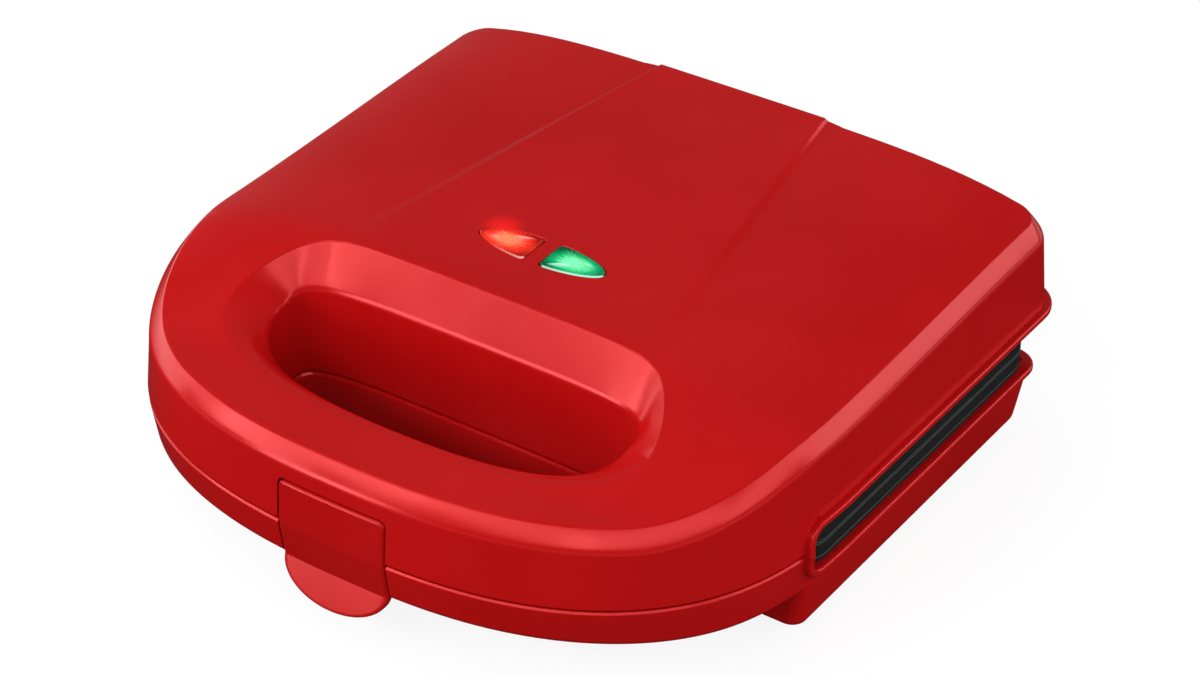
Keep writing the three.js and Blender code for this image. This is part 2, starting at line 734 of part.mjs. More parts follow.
// Turns a solid of the base side into its twin on the lid side
function mirrored(solid) {
  const mesh = solid.getMesh();
  const flipped = mesh.vertProperties.slice();
  for (let i = 2; i < flipped.length; i += mesh.numProp) flipped[i] = 2 * SEAM - flipped[i];
  const faces = mesh.triVerts.slice();
  for (let i = 0; i < faces.length; i += 3) {
    [faces[i + 1], faces[i + 2]] = [faces[i + 2], faces[i + 1]];
  }
  return new wasm.Manifold(
    new wasm.Mesh({ numProp: mesh.numProp, vertProperties: flipped, triVerts: faces }),
  );
}

const POCKET_BACK = PLATE_FACE - POCKET_DEPTH - PLATE_WALL;
const ELEMENT_HEIGHT = POCKET_BACK - GAP - ELEMENT_RADIUS;
const REFLECTOR_TOP = ELEMENT_HEIGHT - ELEMENT_RADIUS - GAP;
const BOSS_END = PLATE_FACE - PLATE_FLANGE - PLATE_BOSS_LENGTH;

// A bent tubular element, open at the rear
function elementSolid() {
  const bend = ELEMENT_BEND;
  const path = new THREE.CurvePath();
  const corner = (from, via, to) => {
    path.add(new THREE.QuadraticBezierCurve3(from, via, to));
  };
  const at = (x, y) => new THREE.Vector3(x, y, ELEMENT_HEIGHT);
  const [half, front, rear] = [ELEMENT_HALF, ELEMENT_FRONT, ELEMENT_REAR];
  path.add(new THREE.LineCurve3(at(-ELEMENT_TAIL, rear), at(-half + bend, rear)));
  corner(at(-half + bend, rear), at(-half, rear), at(-half, rear - bend));
  path.add(new THREE.LineCurve3(at(-half, rear - bend), at(-half, front + bend)));
  corner(at(-half, front + bend), at(-half, front), at(-half + bend, front));
  path.add(new THREE.LineCurve3(at(-half + bend, front), at(half - bend, front)));
  corner(at(half - bend, front), at(half, front), at(half, front + bend));
  path.add(new THREE.LineCurve3(at(half, front + bend), at(half, rear - bend)));
  corner(at(half, rear - bend), at(half, rear), at(half - bend, rear));
  path.add(new THREE.LineCurve3(at(half - bend, rear), at(ELEMENT_TAIL, rear)));
  const section = new THREE.Shape();
  section.absarc(0, 0, ELEMENT_RADIUS, 0, 2 * Math.PI);
  const tube = new THREE.ExtrudeGeometry(section, {
    extrudePath: path,
    steps: 56,
    curveSegments: 4,
  });
  return solidOf(tube);
}

function reflectorSolid() {
  const outline = [REFLECTOR_HALF, REFLECTOR_FRONT, REFLECTOR_REAR];
  const inner = [
    REFLECTOR_HALF - REFLECTOR_THICKNESS,
    REFLECTOR_FRONT + REFLECTOR_THICKNESS,
    REFLECTOR_REAR - REFLECTOR_THICKNESS,
  ];
  const pan = loft([
    roundedRing(outline, REFLECTOR_CORNER, REFLECTOR_TOP - REFLECTOR_THICKNESS),
    roundedRing(outline, REFLECTOR_CORNER, REFLECTOR_TOP + REFLECTOR_EDGE),
  ]);
  const hollow = loft([
    roundedRing(inner, REFLECTOR_CORNER - REFLECTOR_THICKNESS, REFLECTOR_TOP),
    roundedRing(inner, REFLECTOR_CORNER - REFLECTOR_THICKNESS, REFLECTOR_TOP + OVERRUN),
  ]);
  const passage = post(
    POST_RADIUS + GAP * 2,
    0,
    PLATE_SCREW_DEPTHS[1],
    REFLECTOR_TOP - OVERRUN,
    REFLECTOR_TOP + OVERRUN,
  );
  return cut(pan, [hollow, passage]);
}

// Latch


// Both outer forms at one inset, so that the latch can follow them across the parting line
function frontForm(inset) {
  return lidForm(inset, () => 0, SEAM).add(
    baseForm(BASE_PLAN, inset, TRAY_BOTTOM - OVERRUN, SEAM + GAP),
  );
}

const frontAt = (height) => {
  const draft = height > SEAM ? LID_DRAFT_SHARE : BASE_DRAFT_SHARE;
  return -FRONT_REACH + draft * Math.abs(height - SEAM);
};

function latchSolid() {
  const span = [-LATCH_HALF, LATCH_HALF];
  const depth = [-FRONT_REACH - OVERRUN, -FRONT_REACH + OVERRUN];
  const slab = frontForm(-LATCH_PROUD)
    .intersect(block(span, depth, [LATCH_FACE_BOTTOM, LATCH_TOP]))
    .subtract(frontForm(LATCH_THICKNESS - LATCH_PROUD));
  const pinDepth = frontAt(LATCH_PIN_HEIGHT) + LATCH_PIN_INSET;
  const barrel = crossBar(LATCH_TOP - LATCH_PIN_HEIGHT, ...span, pinDepth, LATCH_PIN_HEIGHT);
  const bore = crossBar(
    LATCH_PIN_RADIUS + GAP,
    -LATCH_HALF - OVERRUN,
    LATCH_HALF + OVERRUN,
    pinDepth,
    LATCH_PIN_HEIGHT,
  );
  const back = frontAt(NOSE_TOP) + LATCH_THICKNESS - LATCH_PROUD;
  const nose = block(
    [-NOSE_HALF, NOSE_HALF],
    [back - LATCH_THICKNESS / 2, back + NOSE_REACH],
    [NOSE_BOTTOM, NOSE_TOP],
  );
  return cut(join([slab, barrel, nose, tabSolid()]), [bore]);
}

// The thumb tab: half an ellipse that hangs below the face and flares forward
function tabSolid() {
  const outline = new THREE.Shape();
  outline.absellipse(0, 0, LATCH_HALF, TAB_LENGTH, Math.PI, 2 * Math.PI);
  outline.closePath();
  const tab = new THREE.ExtrudeGeometry(outline, {
    depth: TAB_THICKNESS,
    bevelEnabled: false,
    curveSegments: ROUND_STEPS,
  });
  tab.rotateX(Math.PI / 2);
  const flare = Math.atan2(TAB_FLARE, TAB_LENGTH);
  tab.rotateX(-flare);
  const root = frontAt(LATCH_FACE_BOTTOM) - LATCH_PROUD;
  return solidOf(tab.translate(0, root + TAB_THICKNESS, LATCH_FACE_BOTTOM + TAB_THICKNESS / 2));
}

// The recess in the shells behind the latch, and the floor and cheeks that close it
function latchPocket(inset, sides, bottom, top) {
  return block(
    [-LATCH_HALF - sides, LATCH_HALF + sides],
    [-FRONT_REACH - OVERRUN, -FRONT_REACH + OVERRUN],
    [bottom, top],
  ).subtract(frontForm(inset));
}

// Lid shell

const LID_BOTTOM = SEAM + GAP / 2;
const BASE_TOP = SEAM - GAP / 2;
const flat = () => 0;

function lensShape(grow, mirror) {
  const shape = new THREE.Shape();
  const inner = LENS_INNER - grow;
  const outer = LENS_OUTER + grow;
  const half = LENS_HALF + grow;
  const belly = inner + (outer - inner) / 2;
  shape.moveTo(mirror * inner, -half);
  shape.bezierCurveTo(mirror * belly, -half, mirror * outer, -half / 2, mirror * outer, 0);
  shape.bezierCurveTo(mirror * outer, half / 2, mirror * belly, half, mirror * inner, half);
  shape.closePath();
  return shape;
}

function lensPrism(grow, mirror, bottom, top) {
  const prism = new THREE.ExtrudeGeometry(lensShape(grow, mirror), {
    depth: top - bottom,
    bevelEnabled: false,
    curveSegments: CORNER_STEPS + 2,
  });
  return solidOf(prism.translate(0, LENS_DEPTH, bottom));
}

function panelSolid() {
  const raise = (y) => {
    const share = smooth((y - PANEL_FRONT) / (LID_REAR - PANEL_FRONT));
    return PANEL_FRONT_RAISE + (PANEL_RAISE - PANEL_FRONT_RAISE) * share;
  };
  const ring = (grow, height) =>
    [
      [PANEL_FRONT_HALF + grow, PANEL_FRONT - grow],
      [PANEL_REAR_HALF + grow, LID_REAR + OVERRUN],
      [-PANEL_REAR_HALF - grow, LID_REAR + OVERRUN],
      [-PANEL_FRONT_HALF - grow, PANEL_FRONT - grow],
    ].map(([x, y]) => new THREE.Vector3(x, y, height));
  const taper = PANEL_RAISE;
  const wedge = loft([
    ring(taper, SHOULDER_TOP - BEVEL_DROP * 2),
    ring(taper, SHOULDER_TOP - BEVEL_DROP),
    ring(-taper, REAR_TOP + OVERRUN / 2),
  ]);
  return lidForm(0, raise, SEAM).intersect(wedge);
}

// Ears that carry a hinge pin, drawn in depth and height
function earShape(points) {
  const shape = new THREE.Shape();
  shape.moveTo(...points[0]);
  for (const point of points.slice(1)) shape.lineTo(...point);
  shape.closePath();
  return shape;
}

function hingeEars(x0, x1, points) {
  return join([
    sideProfile(earShape(points), x0, x1),
    crossBar(HINGE_EAR_RADIUS, x0, x1, HINGE_DEPTH, HINGE_HEIGHT),
  ]);
}

function hingeBores() {
  return [-1, 1].map((mirror) => {
    const half = HINGE_BASE_HALF + HINGE_LID_WIDTH + OVERRUN / 2;
    const middle = mirror * HINGE_PLACE;
    return crossBar(
      HINGE_PIN_RADIUS + GAP / 2,
      middle - half,
      middle + half,
      HINGE_DEPTH,
      HINGE_HEIGHT,
    );
  });
}

function lidShell() {
  const outer = lidForm(0, flat, LID_BOTTOM).add(panelSolid());
  const lipBody = lidForm(-LIP_REACH, flat, LID_BOTTOM).intersect(
    windowProfile(LIP_THICKNESS, WINDOW_TOP, 1),
  );
  const hollow = lidForm(SKIN, flat, LID_BOTTOM - OVERRUN).subtract(lidHole(SKIN));
  const posts = join([
    ...COVER_SCREW_PLACES.map(([x, y]) =>
      post(COVER_POST_RADIUS, x, y, COVER_TOP + GAP, REAR_TOP),
    ),
    ...PLATE_SCREW_DEPTHS.map((y) =>
      post(POST_RADIUS, 0, y, 2 * SEAM - BOSS_END + GAP, REAR_TOP),
    ),
  ])
    .intersect(lidForm(SKIN / 2, flat, LID_BOTTOM))
    .subtract(lidHole(SKIN / 2));
  const ears = [-1, 1].flatMap((mirror) =>
    [-1, 1].map((end) => {
      const inner = mirror * HINGE_PLACE + end * (HINGE_BASE_HALF + GAP);
      const outerX = inner + end * HINGE_LID_WIDTH;
      const wall = LID_REAR - SKIN;
      return hingeEars(Math.min(inner, outerX), Math.max(inner, outerX), [
        [HINGE_DEPTH - HINGE_EAR_RADIUS, HINGE_HEIGHT],
        [HINGE_DEPTH + HINGE_EAR_RADIUS, HINGE_HEIGHT],
        [wall, WINDOW_TOP + GAP],
        [wall, HINGE_EAR_TOP],
        [HINGE_DEPTH - HINGE_EAR_RADIUS, WINDOW_TOP + GAP],
      ]);
    }),
  );
  const partition = block(
    [-HALF_WIDTH, HALF_WIDTH],
    [PLATE_REAR + GAP, PLATE_REAR + GAP + SKIN],
    [PARTITION_BOTTOM, REAR_TOP],
  ).intersect(lidForm(SKIN / 2, flat, LID_BOTTOM));
  const pocketTop = LATCH_TOP + LATCH_TOP_GAP;
  const backing = latchPocket(0, LATCH_SIDE_GAP + LATCH_CHEEK, LID_BOTTOM, pocketTop + SKIN)
    .intersect(lidForm(GAP, flat, LID_BOTTOM))
    .intersect(frontRing(LATCH_POCKET + SKIN));
  const pinDepth = frontAt(LATCH_PIN_HEIGHT) + LATCH_PIN_INSET;
  const pinEnd = LATCH_HALF + LATCH_SIDE_GAP + LATCH_CHEEK - GAP;
  const pinBore = crossBar(
    LATCH_PIN_RADIUS + GAP / 2,
    -pinEnd,
    pinEnd,
    pinDepth,
    LATCH_PIN_HEIGHT,
    SCREW_STEPS,
  );
  const screwEnd = COVER_TOP + COVER_SCREW_LENGTH;
  const pilot = SCREW_RADIUS + SCREW_CLEARANCE;
  const pilots = [
    ...COVER_SCREW_PLACES.map(([x, y]) => post(pilot, x, y, SEAM, screwEnd, SCREW_STEPS)),
    ...PLATE_SCREW_DEPTHS.map((y) =>
      post(pilot, 0, y, SEAM, SEAM + PLATE_SCREW_LENGTH + GAP * 4, SCREW_STEPS),
    ),
  ];
  const lensHoles = [-1, 1].map((mirror) =>
    lensPrism(LENS_GAP, mirror, SHOULDER_TOP - OVERRUN, SHOULDER_TOP + OVERRUN),
  );
  const shell = cut(join([outer, lipBody]), [
    windowProfile(0, WINDOW_TOP, 1),
    hollow,
    lidHole(0),
  ]);
  return cut(join([shell, posts, partition, ...ears, backing]), [
    latchPocket(LATCH_POCKET, LATCH_SIDE_GAP, SEAM - OVERRUN, pocketTop),
    pinBore,
    ...pilots,
    ...lensHoles,
    ...hingeBores(),
  ]);
}

// A block at the front, as deep as an inset from the outside
function frontRing(inset) {
  return block(
    [-HALF_WIDTH, HALF_WIDTH],
    [-FRONT_REACH - OVERRUN, -FRONT_REACH + inset],
    [-OVERRUN, REAR_TOP + OVERRUN],
  );
}

// Base shell

function baseShell() {
  const outer = baseForm(BASE_PLAN, 0, TRAY_BOTTOM, BASE_TOP).add(
    deepForm(0, BASE_BOTTOM, SEAM - OVERRUN / 2),
  );
  const lipBody = baseForm(BASE_PLAN, -LIP_REACH, TRAY_BOTTOM, BASE_TOP).intersect(
    windowProfile(LIP_THICKNESS, WINDOW_BOTTOM, -1),
  );
  const trayHollow = baseForm(BASE_PLAN, SKIN, TRAY_BOTTOM + SKIN, SEAM + OVERRUN);
  const deepHollow = deepForm(SKIN, BASE_BOTTOM + SKIN, SEAM + OVERRUN);
  const hollow = trayHollow.add(deepHollow).subtract(baseHole(SKIN, TRAY_BOTTOM - SKIN));
  const floor = BASE_BOTTOM + SKIN / 2;
  const coverPosts = COVER_SCREW_PLACES.map(([x, y]) =>
    post(COVER_POST_RADIUS, x, y, TRAY_BOTTOM + SKIN / 2, 2 * SEAM - COVER_TOP - GAP),
  );
  const platePosts = PLATE_SCREW_DEPTHS.map((y) => post(POST_RADIUS, 0, y, floor, BOSS_END - GAP));
  const wallDepth = BASE_REAR - BASE_DRAFT_SHARE * (SEAM - WINDOW_BOTTOM);
  const ears = [-1, 1].map((mirror) =>
    hingeEars(
      mirror * HINGE_PLACE - HINGE_BASE_HALF,
      mirror * HINGE_PLACE + HINGE_BASE_HALF,
      [
        [wallDepth - SKIN, WINDOW_BOTTOM - LIP_THICKNESS],
        [wallDepth - SKIN, HINGE_GUSSET_FOOT],
        [wallDepth - SKIN / 2, HINGE_GUSSET_FOOT],
        [HINGE_DEPTH + HINGE_EAR_RADIUS, HINGE_HEIGHT],
        [HINGE_DEPTH - HINGE_EAR_RADIUS, HINGE_HEIGHT],
        [wallDepth, WINDOW_BOTTOM],
      ],
    ),
  );
  const backing = latchPocket(0, LATCH_SIDE_GAP + LATCH_CHEEK, TRAY_BOTTOM, BASE_TOP)
    .intersect(baseForm(BASE_PLAN, GAP, TRAY_BOTTOM, BASE_TOP))
    .intersect(frontRing(CATCH_POCKET + SKIN));
  const noseWindow = block(
    [-NOSE_HALF - GAP, NOSE_HALF + GAP],
    [-FRONT_REACH - OVERRUN, -FRONT_REACH + CATCH_POCKET + SKIN + GAP],
    [NOSE_BOTTOM - GAP, NOSE_TOP + GAP],
  );
  const pilot = SCREW_RADIUS + SCREW_CLEARANCE;
  const pilots = [
    ...COVER_SCREW_PLACES.map(([x, y]) =>
      post(pilot, x, y, 2 * SEAM - COVER_TOP - COVER_SCREW_LENGTH, SEAM, SCREW_STEPS),
    ),
    ...PLATE_SCREW_DEPTHS.map((y) =>
      post(pilot, 0, y, SEAM - PLATE_SCREW_LENGTH - GAP * 4, SEAM, SCREW_STEPS),
    ),
  ];
  const footRecesses = FOOT_PLACES.map(([x, y]) =>
    post(FOOT_TOP_RADIUS + GAP, x, y, -OVERRUN, BASE_BOTTOM + FOOT_RECESS),
  );
  const vents = VENT.places.flatMap((x) =>
    Array.from({ length: VENT.count }, (_, i) => {
      const y = VENT.depth + i * VENT.pitch;
      return block(
        [x - VENT.length / 2, x + VENT.length / 2],
        [y, y + VENT.width],
        [BASE_BOTTOM - OVERRUN, BASE_BOTTOM + SKIN + GAP],
      );
    }),
  );
  const inlet = new THREE.CylinderGeometry(
    BUSH_RADIUS + GAP,
    BUSH_RADIUS + GAP,
    OVERRUN,
    ROUND_STEPS,
  );
  const shell = cut(outer.add(lipBody), [
    windowProfile(0, WINDOW_BOTTOM, -1),
    hollow,
    baseHole(0, TRAY_BOTTOM - OVERRUN),
  ]);
  return cut(join([shell, ...coverPosts, ...platePosts, ...ears, backing]), [
    latchPocket(CATCH_POCKET, LATCH_SIDE_GAP, TRAY_BOTTOM - OVERRUN, SEAM + OVERRUN),
    noseWindow,
    ...pilots,
    ...footRecesses,
    ...vents,
    solidOf(atInlet(inlet)),
    ...hingeBores(),
  ]);
}

// Covers of the hollow bar, modelled on the lid side

const COVER_BOTTOM = LID_BOTTOM + COVER_RECESS;
const COVER_TOP = COVER_BOTTOM + COVER_THICKNESS;

function handleCover() {
  const inset = SKIN + GAP;
  const slab = (low, high) =>
    loft(
      [low, high].map((height) =>
        planPoints(BASE_PLAN, () => inset + BASE_DRAFT_SHARE * (height - SEAM)).map(
          ([x, y]) => new THREE.Vector3(x, y, height),
        ),
      ),
    );
  const behind = block(
    [-HALF_WIDTH, HALF_WIDTH],
    [WINDOW_FRONT, BASE_REAR + OVERRUN],
    [SEAM - OVERRUN, SEAM + OVERRUN],
  );
  const around = lidHole(SKIN + GAP);
  const latchRoom = block(
    [-LATCH_HALF - LATCH_SIDE_GAP - LATCH_CHEEK - GAP, LATCH_HALF + LATCH_SIDE_GAP + LATCH_CHEEK + GAP],
    [-FRONT_REACH - OVERRUN, -FRONT_REACH + LATCH_POCKET + SKIN + GAP],
    [SEAM - OVERRUN, SEAM + OVERRUN],
  );
  const holes = COVER_SCREW_PLACES.map(([x, y]) =>
    screwHole(x, y, COVER_BOTTOM, COVER_BOTTOM + GAP + SCREW_HEAD, COVER_TOP + OVERRUN),
  );
  return cut(slab(COVER_BOTTOM, COVER_TOP), [behind, around, latchRoom, ...holes]);
}

// Lamps and their holder

function lens(mirror) {
  const [x, y] = [(mirror * (LENS_INNER + LENS_OUTER)) / 2, LENS_DEPTH];
  const top = lidTop(x, y) + LENS_PROUD;
  const prism = lensPrism(0, mirror, top - LENS_LENGTH, top);
  const dome = new THREE.SphereGeometry(1, ROUND_STEPS, ROUND_STEPS);
  const reach = LENS_OUTER - LENS_INNER;
  dome.scale(reach, LENS_HALF * 2, LENS_DOME);
  dome.translate(x, y, top - LENS_DOME);
  return prism.intersect(solidOf(dome));
}

const LAMP_SEAT = lidTop(LENS_OUTER, LENS_DEPTH) + LENS_PROUD - LENS_LENGTH - GAP * 2;

function lampHolder() {
  const { half, front, rear, height, wall, post: peg } = LAMP_HOLDER;
  const body = block([-half, half], [front, rear], [LAMP_SEAT - height, LAMP_SEAT]);
  const wells = [-1, 1].map((mirror) => {
    const [a, b] = [mirror * wall, mirror * (half - 2 * peg)];
    return block(
      [Math.min(a, b), Math.max(a, b)],
      [front + wall, rear - wall],
      [LAMP_SEAT - height + wall, LAMP_SEAT + OVERRUN],
    );
  });
  const pegs = [-1, 1].map((mirror) => {
    const x = mirror * (half - peg);
    const y = (front + rear) / 2;
    return post(peg, x, y, LAMP_SEAT - height / 2, lidTop(x, y) - SKIN - GAP);
  });
  return join([cut(body, wells), ...pegs]);
}

function lamp(mirror) {
  const x = (mirror * (LENS_INNER + LENS_OUTER)) / 2;
  const tube = new THREE.CapsuleGeometry(LAMP_RADIUS, LAMP_LENGTH - 2 * LAMP_RADIUS, 3, SCREW_STEPS);
  const seat = LAMP_SEAT - LAMP_HOLDER.height + LAMP_HOLDER.wall + GAP + LAMP_RADIUS;
  return tube.rotateZ(Math.PI / 2).translate(x, LENS_DEPTH, seat);
}

// Small parts

function thermostatSolid() {
  const { width, length, height, foot, footHeight, depth } = THERMOSTAT;
  const seat = 2 * SEAM - PLATE_FACE + PLATE_FLANGE + GAP;
  const along = [depth - length / 2, depth + length / 2];
  return block([-width / 2, width / 2], along, [seat + footHeight, seat + height]).add(
    block([-foot, foot], along, [seat, seat + footHeight]),
  );
}

function fuseSolid() {
  const seat = 2 * SEAM - PLATE_FACE + PLATE_FLANGE + GAP + FUSE.radius;
  const body = new THREE.CapsuleGeometry(FUSE.radius, FUSE.length - 2 * FUSE.radius, 3, SCREW_STEPS);
  return body.translate(0, FUSE.depth, seat);
}

// Sets a piece turned about Y square to the sloping rear wall, at the cord's place
function atInlet(geometry) {
  const wall = BASE_REAR - BASE_DRAFT_SHARE * (SEAM - BUSH_HEIGHT);
  return geometry.rotateX(-Math.atan(BASE_DRAFT_SHARE)).translate(BUSH_PLACE, wall, BUSH_HEIGHT);
}

function bushGeometry() {
  const inside = -SKIN - GAP * 2;
  const profile = [
    [BUSH_BORE, inside],
    [BUSH_RADIUS, inside],
    [BUSH_RADIUS, GAP],
    [BUSH_FLANGE_RADIUS, GAP],
    [BUSH_FLANGE_RADIUS, GAP + BUSH_FLANGE],
    [BUSH_BORE, GAP + BUSH_FLANGE],
    [BUSH_BORE, inside],
  ].map(([r, y]) => new THREE.Vector2(r, y));
  return atInlet(new THREE.LatheGeometry(profile, ROUND_STEPS));
}

function terminalBlock() {
  const floor = BASE_BOTTOM + SKIN + GAP;
  const back = BASE_REAR - BASE_DRAFT_SHARE * (SEAM - floor) - SKIN - EDGE_ROUND - GAP;
  return block(
    [BUSH_PLACE + BUSH_RADIUS * 2, BUSH_PLACE + BUSH_RADIUS * 2 + BLOCK.length],
    [back - BLOCK.width, back],
    [floor, floor + BLOCK.height],
  );
}

function footGeometry([x, y]) {
  const top = BASE_BOTTOM + FOOT_RECESS - GAP;
  const profile = [
    [0, 0],
    [FOOT_RADIUS, 0],
    [FOOT_TOP_RADIUS, top],
    [0, top],
  ].map(([r, z]) => new THREE.Vector2(r, z));
  return new THREE.LatheGeometry(profile, ROUND_STEPS).rotateX(Math.PI / 2).translate(x, y, 0);
}

// Materials

const material = (color, roughness, metalness = 0) =>
  new THREE.MeshStandardMaterial({ color, roughness, metalness });
const redPlastic = material("#b0141a", 0.18);
const blackCoating = material("#232a28", 0.5);
const aluminium = material("#c9ccd0", 0.35, 0.9);
const steel = material("#8f9499", 0.3, 1);
const blackPlastic = material("#1c1c1e", 0.6);
const blackRubber = material("#161616", 0.85);
const whiteCeramic = material("#e8e4da", 0.5);
const redLens = material("#ff4a2a", 0.15);
const greenLens = material("#1fd37f", 0.15);
const lampGlass = material("#f4d7b8", 0.1);

// Assembly

const sandwichMaker = new THREE.Group();

function place(name, shape, look) {
  const geometry = shape.isBufferGeometry ? shape : geometryOf(shape);
  const mesh = new THREE.Mesh(geometry, look);
  mesh.name = name;
  sandwichMaker.add(mesh);
}

place("lid_shell", lidShell(), redPlastic);
place("base_shell", baseShell(), redPlastic);
place("lid_handle_cover", handleCover(), redPlastic);
place("base_handle_cover", mirrored(handleCover()), redPlastic);
place("lower_plate", plateSolid(), blackCoating);
place("upper_plate", mirrored(plateSolid()), blackCoating);
place("lower_heating_element", elementSolid(), steel);
place("upper_heating_element", mirrored(elementSolid()), steel);
place("lower_reflector", reflectorSolid(), aluminium);
place("upper_reflector", mirrored(reflectorSolid()), aluminium);
place("thermostat", thermostatSolid(), whiteCeramic);
place("thermal_fuse", fuseSolid(), aluminium);
place("lamp_holder", lampHolder(), blackPlastic);
place("red_lamp", lamp(-1), lampGlass);
place("green_lamp", lamp(1), lampGlass);
place("red_lens", lens(-1), redLens);
place("green_lens", lens(1), greenLens);
place("latch", latchSolid(), redPlastic);
place(
  "latch_pin",
  crossBar(
    LATCH_PIN_RADIUS,
    -LATCH_HALF - LATCH_SIDE_GAP - LATCH_CHEEK / 2,
    LATCH_HALF + LATCH_SIDE_GAP + LATCH_CHEEK / 2,
    frontAt(LATCH_PIN_HEIGHT) + LATCH_PIN_INSET,
    LATCH_PIN_HEIGHT,
    SCREW_STEPS,
  ),
  steel,
);
for (const [side, mirror] of [
  ["left", -1],
  ["right", 1],
]) {
  const half = HINGE_BASE_HALF + GAP + HINGE_LID_WIDTH;
  const middle = mirror * HINGE_PLACE;
  const pin = crossBar(HINGE_PIN_RADIUS, middle - half, middle + half, HINGE_DEPTH, HINGE_HEIGHT);
  place(side + "_hinge_pin", pin, steel);
}
place("terminal_block", terminalBlock(), whiteCeramic);
place("cord_bush", bushGeometry(), blackRubber);
["front_left", "front_right", "rear_left", "rear_right"].forEach((name, i) => {
  place(name + "_foot", footGeometry(FOOT_PLACES[i]), blackRubber);
});
COVER_SCREW_PLACES.forEach(([x, y], i) => {
  const seat = COVER_BOTTOM + GAP + SCREW_HEAD - GAP;
  const number = i + 1;
  place("lid_cover_screw_" + number, screw(x, y, seat, COVER_SCREW_LENGTH, 1), steel);
  place("base_cover_screw_" + number, screw(x, y, 2 * SEAM - seat, COVER_SCREW_LENGTH, -1), steel);
});
PLATE_SCREW_DEPTHS.forEach((y, i) => {
  const seat = PLATE_FACE - SCREW_HEAD;
  const number = i + 1;
  place("lower_plate_screw_" + number, screw(0, y, seat, PLATE_SCREW_LENGTH, -1), steel);
  place("upper_plate_screw_" + number, screw(0, y, 2 * SEAM - seat, PLATE_SCREW_LENGTH, 1), steel);
});

const box = new THREE.Box3().setFromObject(sandwichMaker);
sandwichMaker.position.y = -(box.min.y + box.max.y) / 2;
export default sandwichMaker;
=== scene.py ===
"""Dresses the packed sandwich maker: fine shells, lamps, latch, materials, light and camera.

Shapes are worked out in millimetres, in the part's own datum: +X right, +Y to the back, +Z up,
depths counted from the line where the straight sides end and the rounded front begins.
"""
import json
import math

import bmesh
import bpy
import numpy as np
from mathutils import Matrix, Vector

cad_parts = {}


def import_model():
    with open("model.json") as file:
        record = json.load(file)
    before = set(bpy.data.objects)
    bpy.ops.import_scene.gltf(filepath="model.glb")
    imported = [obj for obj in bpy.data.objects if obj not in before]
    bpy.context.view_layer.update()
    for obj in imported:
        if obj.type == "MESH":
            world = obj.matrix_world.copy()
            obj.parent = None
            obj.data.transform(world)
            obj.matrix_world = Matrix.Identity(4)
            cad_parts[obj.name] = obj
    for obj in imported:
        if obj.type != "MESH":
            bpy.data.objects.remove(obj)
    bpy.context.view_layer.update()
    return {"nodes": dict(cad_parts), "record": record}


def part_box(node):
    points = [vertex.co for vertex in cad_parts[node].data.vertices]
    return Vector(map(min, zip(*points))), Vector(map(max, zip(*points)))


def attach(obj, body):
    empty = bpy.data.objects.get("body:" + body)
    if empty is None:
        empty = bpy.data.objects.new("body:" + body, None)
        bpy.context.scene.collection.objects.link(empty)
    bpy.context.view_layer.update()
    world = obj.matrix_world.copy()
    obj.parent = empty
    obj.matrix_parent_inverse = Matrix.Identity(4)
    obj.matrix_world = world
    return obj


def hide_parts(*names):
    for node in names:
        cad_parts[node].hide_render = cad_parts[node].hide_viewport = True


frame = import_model()

# Measures of the part; some follow the photograph more closely than the solids do
GAP = 0.3
SKIN = 2.5
OVERRUN = 20  # how far a cutting tool runs past what it cuts
BELOW = -5  # height where tools that cut the base's floor begin
SEAM = 32
HALF_WIDTH = 113.3
FRONT_REACH = 94
FRONT_FULLNESS = 2.53
LID_PLAN = (124.5, 14)  # rear edge, corner radius
BASE_PLAN = (111.5, 8)
LID_DRAFT = 0.09
BAR_TOP, SHOULDER_TOP, REAR_TOP = 57, 74.6, 78.6
BAR_END, SHOULDER_START = -70, -12
BAR_CROWN, BODY_CROWN, CROWN_POWER = 3, 11, 4
BEVEL_DROP, BEVEL_RUN, BEVEL_BULGE = 5.6, 4.1, 0.04
PANEL_FRONT, PANEL_REAR = -17.5, 124.5
PANEL_HALVES = (57, 30.3)  # at its front and rear, to the foot of its sloping sides
PANEL_RAISES = (0.32, 1.5)
PANEL_SLOPES = (4.2, 1.0)  # widths of the sloping sides
PANEL_RUN_IN = 6  # length over which it rises at its front
PARTITION_HALF, PARTITION_TOP = 112, 90  # before it is cut to the lid's inside
BASE_DRAFT = 0.14
TRAY_BOTTOM, BASE_BOTTOM = 19.5, 4.5
DEEP_FRONT, DEEP_CORNER, DEEP_BOTTOM = -22.2, 4.5, 3.6
TRAY_FALL = 1.6  # how much lower the tray's underside lies where it meets the deep part
TRAY_FALL_START, TRAY_FALL_LENGTH = 6, 46  # counted back from the front
BASE_ROUND, FLOOR_INSET = 2.2, 6  # rounding of the lower edges, and the ring inside them
EASED_EDGE, LID_EASED_EDGE = 0.6, 0.95  # small roundings where the two halves meet
WALL_ROW = 44.5  # a row across the lid's walls, just above the lip
WINDOW_FRONT, WINDOW_TOP, WINDOW_BOTTOM, WINDOW_ROUND = -21.5, 39.3, 24.7, 5
LIP_THICKNESS, LIP_REACH = 2.4, 2.2
LIP_ROOT, LIP_ROUND = 1.2, 0.9  # its reach into the wall, and its outer edges' radius
HINGE_DEPTH, HINGE_HEIGHT = 117, 30
HINGE_PLACE, HINGE_HALF = 60, 8  # distance from the middle, half width of the base's ears
EAR_THICKNESS, EYE_RADIUS = 5, 4.5
LID_EAR_TOP, LID_EAR_REACH, BASE_EAR_FOOT = 54, 0.5, 12
LATCH_HALF, LATCH_TOP, LATCH_BOTTOM = 18.7, 45.9, 20
LATCH_THICKNESS, LATCH_PROUD = 3, 0.4
LATCH_TOP_GAP = 0.8
TAB_LENGTH, TAB_FLARE, TAB_FLATTENING = 10.2, 4.0, 0.6
